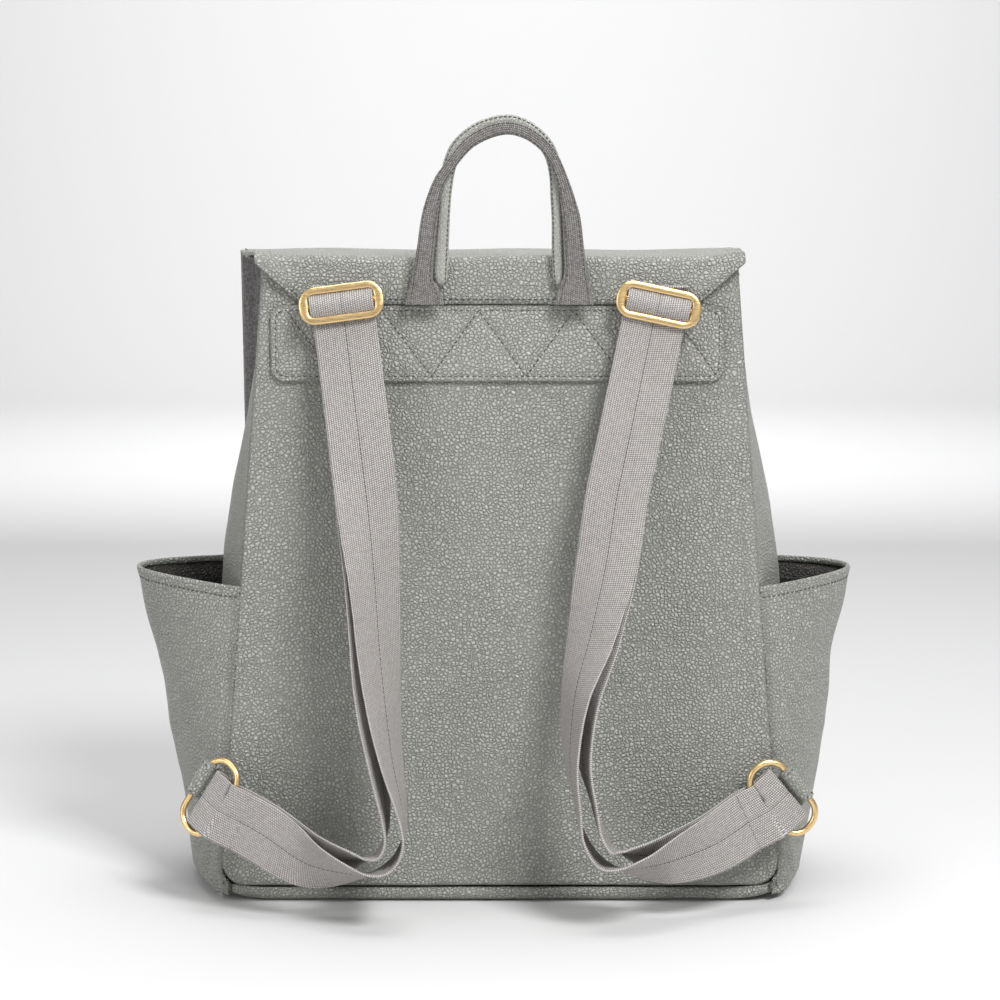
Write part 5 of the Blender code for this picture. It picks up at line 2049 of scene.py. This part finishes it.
@dataclass
class StrapAnchor:
    """Stub of webbing from the yoke's seam, up and over to the slider."""

    side: Side
    finishes: Finishes
    section: TapeSection = TapeSection()
    bend: tuple[tuple[float, float], ...] = ((-0.0783, 0.3768), (-0.0785, 0.3810), (-0.0790, 0.3845),
                                             (-0.0800, 0.3868), (-0.0818, 0.3880), (-0.0838, 0.3878))

    def build(self) -> None:
        """Build the stub."""
        low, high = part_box(f"{self.side.value}_strap_anchor")
        x = (low.x + high.x) / 2.0
        rows, cloth, marks, walked, last = [], [], [], 0.0, self.bend[0]
        path = smooth_route(self.bend, 5)
        for i, (y, z) in enumerate(path):
            walked += math.dist((y, z), last)
            last = (y, z)
            after, before = path[min(i + 1, len(path) - 1)], path[max(i - 1, 0)]
            line = Vector((0.0, after[0] - before[0], after[1] - before[1])).normalized()
            face = Vector((0.0, -line.z, line.y))
            ring, places, seams = self.section.ring(Vector((x, y, z)), Vector((1.0, 0.0, 0.0)), face, walked)
            rows.append(ring)
            cloth.append(places)
            marks.append(seams)
        tape = skin_rows(f"webbing_{self.side.value}_anchor", rows, cloth=cloth, marks=marks)
        dress(tape, self.finishes.webbing)
        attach(tape, Body.BAG.value)
        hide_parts(f"{self.side.value}_strap_anchor")


@dataclass
class SideRing:
    """Gold ring held in a leather tab, with the strap's webbing bent round it."""

    route: StrapRoute
    finishes: Finishes
    form: BagForm
    centre: tuple[float, float, float]
    bar: tuple[float, float, float]
    lean: float
    near: tuple[float, float]
    far: tuple[float, float]
    depth: float = 0.024
    near_corner: float = 0.0115
    far_corner: float = 0.0105
    wire: float = 0.002
    tab_length: float = 0.024
    tab_radius: float = 0.0045
    loop_reach: float = 0.0165
    section: TapeSection = TapeSection()

    @property
    def side(self) -> Side:
        """The side that the ring is on."""
        return self.route.side

    def basis(self) -> tuple[Vector, Vector, Vector, Vector]:
        """Tab centre, bar direction, reach direction and facing direction."""
        bar = Vector(self.bar).normalized()
        flat = Vector((-self.side.sign * bar.z, 0.0, self.side.sign * bar.x))
        turn = math.radians(self.lean)
        reach = flat * math.cos(turn) + Vector((0.0, -math.sin(turn), 0.0))
        face = reach.cross(bar).normalized()
        return Vector(self.centre), bar, reach, -face if face.y > 0.0 else face

    def outline(self) -> list[tuple[float, float]]:
        """The wire's centre line along the bar and reach directions."""
        corners = [Vector(p) for p in ((self.near[0], 0.0), (self.near[1], 0.0), (self.far[1], self.depth),
                                       (self.far[0], self.depth))]
        points: list[tuple[float, float]] = []
        for i, corner in enumerate(corners):
            radius = self.near_corner if i < 2 else self.far_corner
            before = (corners[i - 1] - corner).normalized()
            after = (corners[(i + 1) % 4] - corner).normalized()
            half = before.angle(after) / 2.0
            reach, sweep = radius / math.tan(half), math.pi - 2.0 * half
            middle = corner + (before + after).normalized() * (radius / math.sin(half))
            start, end = corner + before * reach - middle, corner + after * reach - middle
            for k in range(11):
                s = k / 10
                turn = (start * math.sin((1.0 - s) * sweep) + end * math.sin(s * sweep)) / math.sin(sweep)
                points.append(tuple(middle + turn))
        dense = []
        for a, b in zip(points, points[1:] + points[:1]):
            parts = max(1, round(math.dist(a, b) / 0.0025))
            dense += [(a[0] + (b[0] - a[0]) * k / parts, a[1] + (b[1] - a[1]) * k / parts) for k in range(parts)]
        return dense

    def build(self) -> None:
        """Build the ring, its tab and the webbing round it."""
        centre, bar, reach, face = self.basis()
        path = [centre + bar * a + reach * b for a, b in self.outline()]
        rows = []
        for i, point in enumerate(path):
            line = (path[(i + 1) % len(path)] - path[i - 1]).normalized()
            side_way = line.cross(face).normalized()
            rows.append([point + (side_way * math.cos(a) + face * math.sin(a)) * self.wire
                         for a in [2.0 * math.pi * k / 16 for k in range(16)]])
        body = f"{self.side.value}_ring"
        wire = skin_rows(f"gold_{body}", rows, looped=True)
        dress(wire, self.finishes.gold)
        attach(wire, body)
        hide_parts(body)
        self.build_web(body, centre, bar, reach, face)
        self.build_tab(centre, bar, reach, face)

    def build_web(self, body: str, centre: Vector, bar: Vector, reach: Vector, face: Vector) -> None:
        """Webbing that wraps the ring's outer bar.

        Args:
            body: the body that it rides on.
            centre: the tab's centre.
            bar: direction of the ring's bars.
            reach: direction from the tab to the strap.
            face: the way the ring faces.
        """
        middle = centre + bar * (self.far[0] + self.far[1]) / 2.0 + reach * self.depth
        route = smooth_route(self.route.stations, self.route.finest)
        strap, across, out = self.route.basis(route, len(route) - 1)
        bar = bar if across.dot(bar) > 0.0 else -bar
        radius = self.wire + 0.0004 + self.section.thick / 2.0
        turn = [math.pi * k / 14 for k in range(15)]
        path = [(middle - reach * self.loop_reach * math.sin(a) + face * radius * math.cos(a), bar)
                for a in turn]
        back_up = (route[-2][0] - route[-1][0], route[-2][1] - route[-1][1], route[-2][2] - route[-1][2])
        strap += Vector(back_up).normalized() * 0.0030
        front, rear = strap + out * 0.0004, strap - out * (self.route.stations[-1][4] + 0.0004)
        leg_in = [(front.lerp(path[0][0], ease(k / 8)), across.lerp(bar, ease(k / 8))) for k in range(8)]
        leg_out = [(path[-1][0].lerp(rear, ease(k / 8)), bar.lerp(across, ease(k / 8))) for k in range(1, 9)]
        path = leg_in + path + leg_out
        rows, cloth, marks, walked = [], [], [], 0.0
        for i, (place, width) in enumerate(path):
            after, before = path[min(i + 1, len(path) - 1)][0], path[max(i - 1, 0)][0]
            walked += (place - before).length
            line = (after - before).normalized()
            width = (width - line * width.dot(line)).normalized()
            ring, places, seams = self.section.ring(place, width, line.cross(width), walked)
            rows.append(ring)
            cloth.append(places)
            marks.append(seams)
        tape = skin_rows(f"webbing_{body}", rows, cloth=cloth, marks=marks)
        dress(tape, self.finishes.webbing)
        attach(tape, body)
        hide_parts(f"{body}_webbing")

    def build_tab(self, centre: Vector, bar: Vector, reach: Vector, face: Vector) -> None:
        """Leather tube round the ring's inner bar, with a tail that runs into the side seam.

        Args:
            centre: the tube's centre.
            bar: its direction.
            reach: direction from the tab to the strap.
            face: the way the ring faces.
        """
        rows, marks = [], []
        for along in spaced(-self.tab_length / 2, self.tab_length / 2, 14, (0.0, 0.0003, 0.0009, 0.0018)):
            share = along / self.tab_length
            depth = self.tab_length / 2 - abs(along)
            swell = 1.0 + 0.05 * math.cos(math.pi * share)
            swell = swell + 0.03 * noise.noise(centre * 40 + Vector((0, 0, share * 6)))
            girth = self.tab_radius * swell - roll(depth, 0.0012)
            ring = []
            for k in range(24):
                a = 2.0 * math.pi * k / 24
                flatten = 0.94 if math.cos(a) < 0 else 1.0
                outward = reach * math.cos(a) * flatten + face * math.sin(a)
                ring.append(centre + bar * along + outward * girth)
            rows.append(ring)
            # painted shade at the tube's open ends
            marks.append([bell(depth, 0.0012)] * 24)
        tube = skin_rows(f"leather_tab_{self.side.value}", rows, marks=marks)
        dress(tube, self.finishes.leather)
        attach(tube, Body.BAG.value)
        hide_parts(f"{self.side.value}_ring_tab")
        self.build_tail(centre, bar, reach, face)
        seams: list[Seam] = []
        for end in (-1.0, 1.0):
            for turn in (-0.15, 0.75):
                out = (reach * math.sin(turn) * -1.0 + face * math.cos(turn)).normalized()
                spot = (centre + bar * (end * (self.tab_length / 2 - 0.0024))
                        + out * (self.tab_radius + 0.0001))
                across = out.cross(bar)
                seams.append([(spot - across * 0.0016, out), (spot + across * 0.0016, out)])
        thread = Stitching(0.0018, 0.0030, 0.00042).sew(f"stitches_tab_{self.side.value}", seams)
        dress(thread, self.finishes.thread)
        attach(thread, Body.BAG.value)

    def build_tail(self, centre: Vector, bar: Vector, reach: Vector, face: Vector) -> None:
        """Flat tail of the tab, from the back of the tube to the side seam.

        Args:
            centre: the tube's centre.
            bar: its direction.
            reach: direction from the tab to the strap.
            face: the way the ring faces.
        """
        start = centre - face * (self.tab_radius * 0.55) + reach * (self.tab_radius * 0.3)
        away = Vector((-self.side.sign * abs(bar.z), 0.0, self.side.sign * bar.x)).normalized()
        seam_x = self.side.sign * (self.form.half(centre.z) + 0.0004)
        end = start + away * abs((seam_x - start.x) / away.x)
        end += Vector((0.0, self.form.back + 0.0006 - end.y, -0.010))
        rows = []
        for k in range(13):
            share = k / 12
            middle = start.lerp(end, share) + Vector((0.0, -0.0008 * math.sin(math.pi * share), 0.0))
            line = (end - start).normalized()
            width = (bar - line * bar.dot(line)).normalized()
            out = line.cross(width).normalized()
            half = self.tab_length / 2 - 0.0006
            ring = []
            for i in range(20):
                a = 2.0 * math.pi * i / 20
                c, s = math.cos(a), math.sin(a)
                ring.append(middle + width * half * math.copysign(abs(c) ** 0.25, c)
                            + out * 0.0012 * math.copysign(abs(s) ** 0.8, s))
            rows.append(ring)
        tail = skin_rows(f"leather_tail_{self.side.value}", rows)
        dress(tail, self.finishes.leather)
        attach(tail, Body.BAG.value)


# ---------------------------------------------------------------- grab handle

Track = tuple[tuple[float, float, float], ...]

HANDLE_WEB: Track = (
    (-0.0456, 0.3772, 0.0240), (-0.0462, 0.3860, 0.0190), (-0.0470, 0.3930, 0.0130), (-0.0451, 0.4091, 0.0108),
    (-0.0427, 0.4282, 0.0100), (-0.0402, 0.4402, 0.0086), (-0.0359, 0.4522, 0.0072), (-0.0305, 0.4600, 0.0068),
    (-0.0250, 0.4675, 0.0070), (-0.0175, 0.4752, 0.0076), (-0.0061, 0.4812, 0.0082), (0.0055, 0.4832, 0.0080),
    (0.0165, 0.4800, 0.0076), (0.0256, 0.4735, 0.0070), (0.0315, 0.4662, 0.0068), (0.0354, 0.4580, 0.0068),
    (0.0385, 0.4490, 0.0076), (0.0408, 0.4402, 0.0090), (0.0431, 0.4282, 0.0112), (0.0448, 0.4091, 0.0125),
    (0.0459, 0.3950, 0.0150), (0.0455, 0.3865, 0.0200), (0.0450, 0.3772, 0.0240))
HANDLE_LEATHER: Track = (
    (-0.0358, 0.3885, 0.0070), (-0.0362, 0.3980, 0.0092), (-0.0355, 0.4091, 0.0088), (-0.0342, 0.4282, 0.0078),
    (-0.0332, 0.4402, 0.0074), (-0.0318, 0.4522, 0.0074), (-0.0300, 0.4620, 0.0084), (-0.0248, 0.4725, 0.0090),
    (-0.0145, 0.4812, 0.0092), (-0.0035, 0.4856, 0.0092), (0.0065, 0.4865, 0.0092), (0.0155, 0.4835, 0.0092),
    (0.0240, 0.4770, 0.0090), (0.0305, 0.4680, 0.0084), (0.0332, 0.4560, 0.0074), (0.0340, 0.4402, 0.0070),
    (0.0346, 0.4282, 0.0068), (0.0350, 0.4091, 0.0074), (0.0355, 0.3980, 0.0074), (0.0356, 0.3885, 0.0060))


@dataclass
class GrabHandle:
    """Arched handle: a narrow webbing with a padded leather strip behind it."""

    finishes: Finishes
    web_thick: float = 0.0034
    leather_thick: float = 0.0048
    finest: int = 7

    def strip(self, name: str, track: Track, front: float, thick: float, soft: float,
              blunt: bool) -> tuple[bpy.types.Object, Seam, Seam]:
        """Loft a strip along a track.

        Args:
            name: the object's name.
            track: X, Z and width of its stations.
            front: Y of its front face.
            thick: its thickness.
            soft: how padded its section is, from 0 for flat tape to 1.
            blunt: whether its ends stay flat and level.

        Returns:
            The strip and the seams along its outer and inner edges.
        """
        route = smooth_route(track, self.finest)
        rows, cloth, marks = [], [], []
        outer: Seam = []
        inner: Seam = []
        walked, last = 0.0, route[0]
        total = sum(math.dist(a[:2], b[:2]) for a, b in zip(route, route[1:]))
        for i, (x, z, width) in enumerate(route):
            before, after = route[max(i - 1, 0)], route[min(i + 1, len(route) - 1)]
            line = Vector((after[0] - before[0], 0.0, after[1] - before[1])).normalized()
            walked += math.dist((x, z), last[:2])
            last = (x, z)
            end = min(walked, total - walked)
            if blunt:
                level = Vector((0.0, 0.0, 1.0 if walked < total / 2 else -1.0))
                line = line.lerp(level, 1.0 - ease(end / 0.006)).normalized()
            across = Vector((-line.z, 0.0, line.x))
            half = width / 2.0
            cap = 1.0
            if not blunt and end < half:
                cap = math.sqrt(max(0.02, 1.0 - (1.0 - end / half) ** 2))
            hem = 0.12 * bell(end - 0.0022, 0.0022) if blunt else 0.0
            ring, flat, mark = [], [], []
            for k in range(28):
                a = 2.0 * math.pi * k / 28
                c, s = math.cos(a), math.sin(a)
                push = math.copysign(abs(c) ** (0.55 + 0.35 * soft), c)
                lift = math.copysign(abs(s) ** (0.55 + 0.30 * soft), s)
                lift *= 1.0 - (0.10 + 0.12 * soft) * bell(abs(push) - 0.78, 0.10) * (0.4 if soft == 0 else 1.0)
                depth = thick * (0.5 - 0.5 * lift * cap * (0.86 + hem))
                ring.append(Vector((x, front + depth, z)) + across * (half * cap * push))
                flat.append((half * push, walked))
                # painted shade along the strip's stitched edges
                mark.append(0.5 * bell(abs(push) - 0.78, 0.08))
            rows.append(ring)
            cloth.append(flat)
            marks.append(mark)
            for seam, way in ((outer, 1.0), (inner, -1.0)):
                spot = Vector((x, front + thick * (0.12 + 0.02 * soft), z)) + across * (half * 0.74 * way)
                seam.append((spot, OUT_BACK))
        return skin_rows(name, rows, cloth=cloth, marks=marks), outer, inner

    def build(self) -> None:
        """Build both layers and their stitches."""
        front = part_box("handle_webbing")[0].y
        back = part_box("handle_leather")[0].y
        web, outer, inner = self.strip("webbing_handle", HANDLE_WEB, front, self.web_thick, 0.0, True)
        dress(web, self.finishes.tape)
        pad, pad_outer, pad_inner = self.strip("leather_handle", HANDLE_LEATHER, back, self.leather_thick, 1.0,
                                               False)
        dress(pad, self.finishes.handle)
        for obj, node in ((web, "handle_webbing"), (pad, "handle_leather")):
            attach(obj, Body.HANDLE.value)
            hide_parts(node)
        thread = TAPE_STITCH.sew("stitches_handle", [outer, inner, pad_outer, pad_inner])
        dress(thread, self.finishes.thread)
        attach(thread, Body.HANDLE.value)


# ---------------------------------------------------------------- studio


@dataclass
class Studio:
    """Pale sweep, soft lights and the camera."""

    floor_tone: Rgb = (0.66, 0.66, 0.662)
    camera_place: tuple[float, float, float] = (0.0, -1.575, 0.470)
    camera_pitch: float = 8.1
    lens: float = 88.5
    sensor: float = 36.0
    wall_place: float = 4.2
    bend_radius: float = 1.2

    def build_sweep(self) -> None:
        """Floor that curves up into a backdrop."""
        bend = self.wall_place - self.bend_radius
        profile = [(-5.0, 0.0), (bend, 0.0)]
        profile += [(bend + self.bend_radius * math.sin(a), self.bend_radius * (1.0 - math.cos(a))) for a in
                    [math.pi / 2.0 * k / 16 for k in range(1, 17)]]
        profile += [(self.wall_place, 3.0)]
        verts = [Vector((x, y, z - 0.0002)) for y, z in profile for x in (-4.0, 4.0)]
        faces = [(2 * i, 2 * i + 1, 2 * i + 3, 2 * i + 2) for i in range(len(profile) - 1)]
        sweep = link_mesh("studio_sweep", verts, faces)
        material, desk, shader = blank_material("Studio Sweep")
        place = desk.put("ShaderNodeTexCoord").outputs["Object"]
        cloud = desk.remap(desk.noise(place, 2.0, 2.0).outputs[0], 0.3, 0.7, 0.0, 0.02)
        tone = desk.blend(cloud, rgba(self.floor_tone), rgba((0.63, 0.63, 0.634)))
        desk.tree.links.new(tone, shader.inputs["Base Color"])
        shader.inputs["Roughness"].default_value = 0.7
        shader.inputs["Specular IOR Level"].default_value = 0.2
        sweep.data.materials.append(material)

    def add_light(self, name: str, place: Vector, target: Vector, size: float, power: float) -> None:
        """Add one soft square light.

        Args:
            name: the light's name.
            place: where it stands.
            target: what it points at.
            size: its side in metres.
            power: its power in watts.
        """
        data = bpy.data.lights.new(name, "AREA")
        data.size = size
        data.energy = power
        light = bpy.data.objects.new(name, data)
        light.location = place
        light.rotation_euler = (target - place).to_track_quat("-Z", "Y").to_euler()
        light.visible_camera = False
        bpy.context.scene.collection.objects.link(light)

    def build(self) -> None:
        """Build the sweep, the lights and the camera."""
        self.build_sweep()
        middle = Vector((0.0, 0.0, 0.22))
        self.add_light("key_light", Vector((0.9, -1.5, 2.0)), middle, 0.7, 54.0)
        self.add_light("fill_light", Vector((-1.8, -1.5, 1.1)), middle, 1.2, 14.0)
        self.add_light("backdrop_light", Vector((0.0, 1.6, 1.7)), Vector((0.0, 4.2, 1.3)), 1.6, 62.0)
        self.add_light("top_light", Vector((0.0, 0.1, 2.2)), middle, 1.2, 26.0)
        world = bpy.data.worlds.new("Studio World")
        world.use_nodes = True
        world.node_tree.nodes["Background"].inputs["Color"].default_value = (1.0, 1.0, 1.0, 1.0)
        world.node_tree.nodes["Background"].inputs["Strength"].default_value = 0.38
        bpy.context.scene.world = world
        bpy.context.scene.view_settings.view_transform = "Standard"
        data = bpy.data.cameras.new("camera")
        data.lens = self.lens
        data.sensor_width = self.sensor
        camera = bpy.data.objects.new("camera", data)
        camera.location = self.camera_place
        camera.rotation_euler = (math.radians(90.0 - self.camera_pitch), 0.0, 0.0)
        bpy.context.scene.collection.objects.link(camera)
        bpy.context.scene.camera = camera


# ---------------------------------------------------------------- the whole bag


RIGHT_POCKET_REACH = ((0.004, 0.0205), (0.050, 0.0350), (0.100, 0.0480), (0.150, 0.0570), (0.204, 0.0730))


def main() -> None:
    """Build the studio and every sub-assembly in order."""
    logging.basicConfig(level=logging.INFO, format="%(name)s: %(message)s")
    finishes = Finishes()
    form = BagForm.from_frame()
    steps: list[tuple[str, Callable[[], None]]] = [
        ("studio", Studio().build),
        ("body", SoftBody(form, finishes).build),
        ("yoke", Yoke(finishes).build),
        ("flap", Flap(form, finishes).build),
        ("left pocket", Pocket(Side.LEFT, form, finishes).build),
        ("right pocket", Pocket(Side.RIGHT, form, finishes, fullness=0.87,
                                reach=RIGHT_POCKET_REACH).build),
        ("left strap", Strap(LEFT_ROUTE, finishes).build),
        ("right strap", Strap(RIGHT_ROUTE, finishes).build),
        ("left anchor", StrapAnchor(Side.LEFT, finishes).build),
        ("right anchor", StrapAnchor(Side.RIGHT, finishes).build),
        ("left slider", Slider(LEFT_ROUTE, finishes, (-0.0958, -0.0895, 0.3787), 6.7).build),
        ("right slider", Slider(RIGHT_ROUTE, finishes, (0.0958, -0.0888, 0.3775), -6.0).build),
        ("left ring", SideRing(LEFT_ROUTE, finishes, form, (-0.1860, -0.0830, 0.0830), (0.530, 0.0, 0.848), 30.0,
                               (-0.0275, 0.0205), (-0.0335, 0.0165)).build),
        ("right ring", SideRing(RIGHT_ROUTE, finishes, form, (0.1850, -0.0830, 0.0790), (-0.645, 0.0, 0.764),
                                10.0, (-0.0235, 0.0225), (-0.0275, 0.0265)).build),
        ("handle", GrabHandle(finishes).build),
    ]
    for name, build in steps:
        build()


if __name__ == "__main__":
    main()
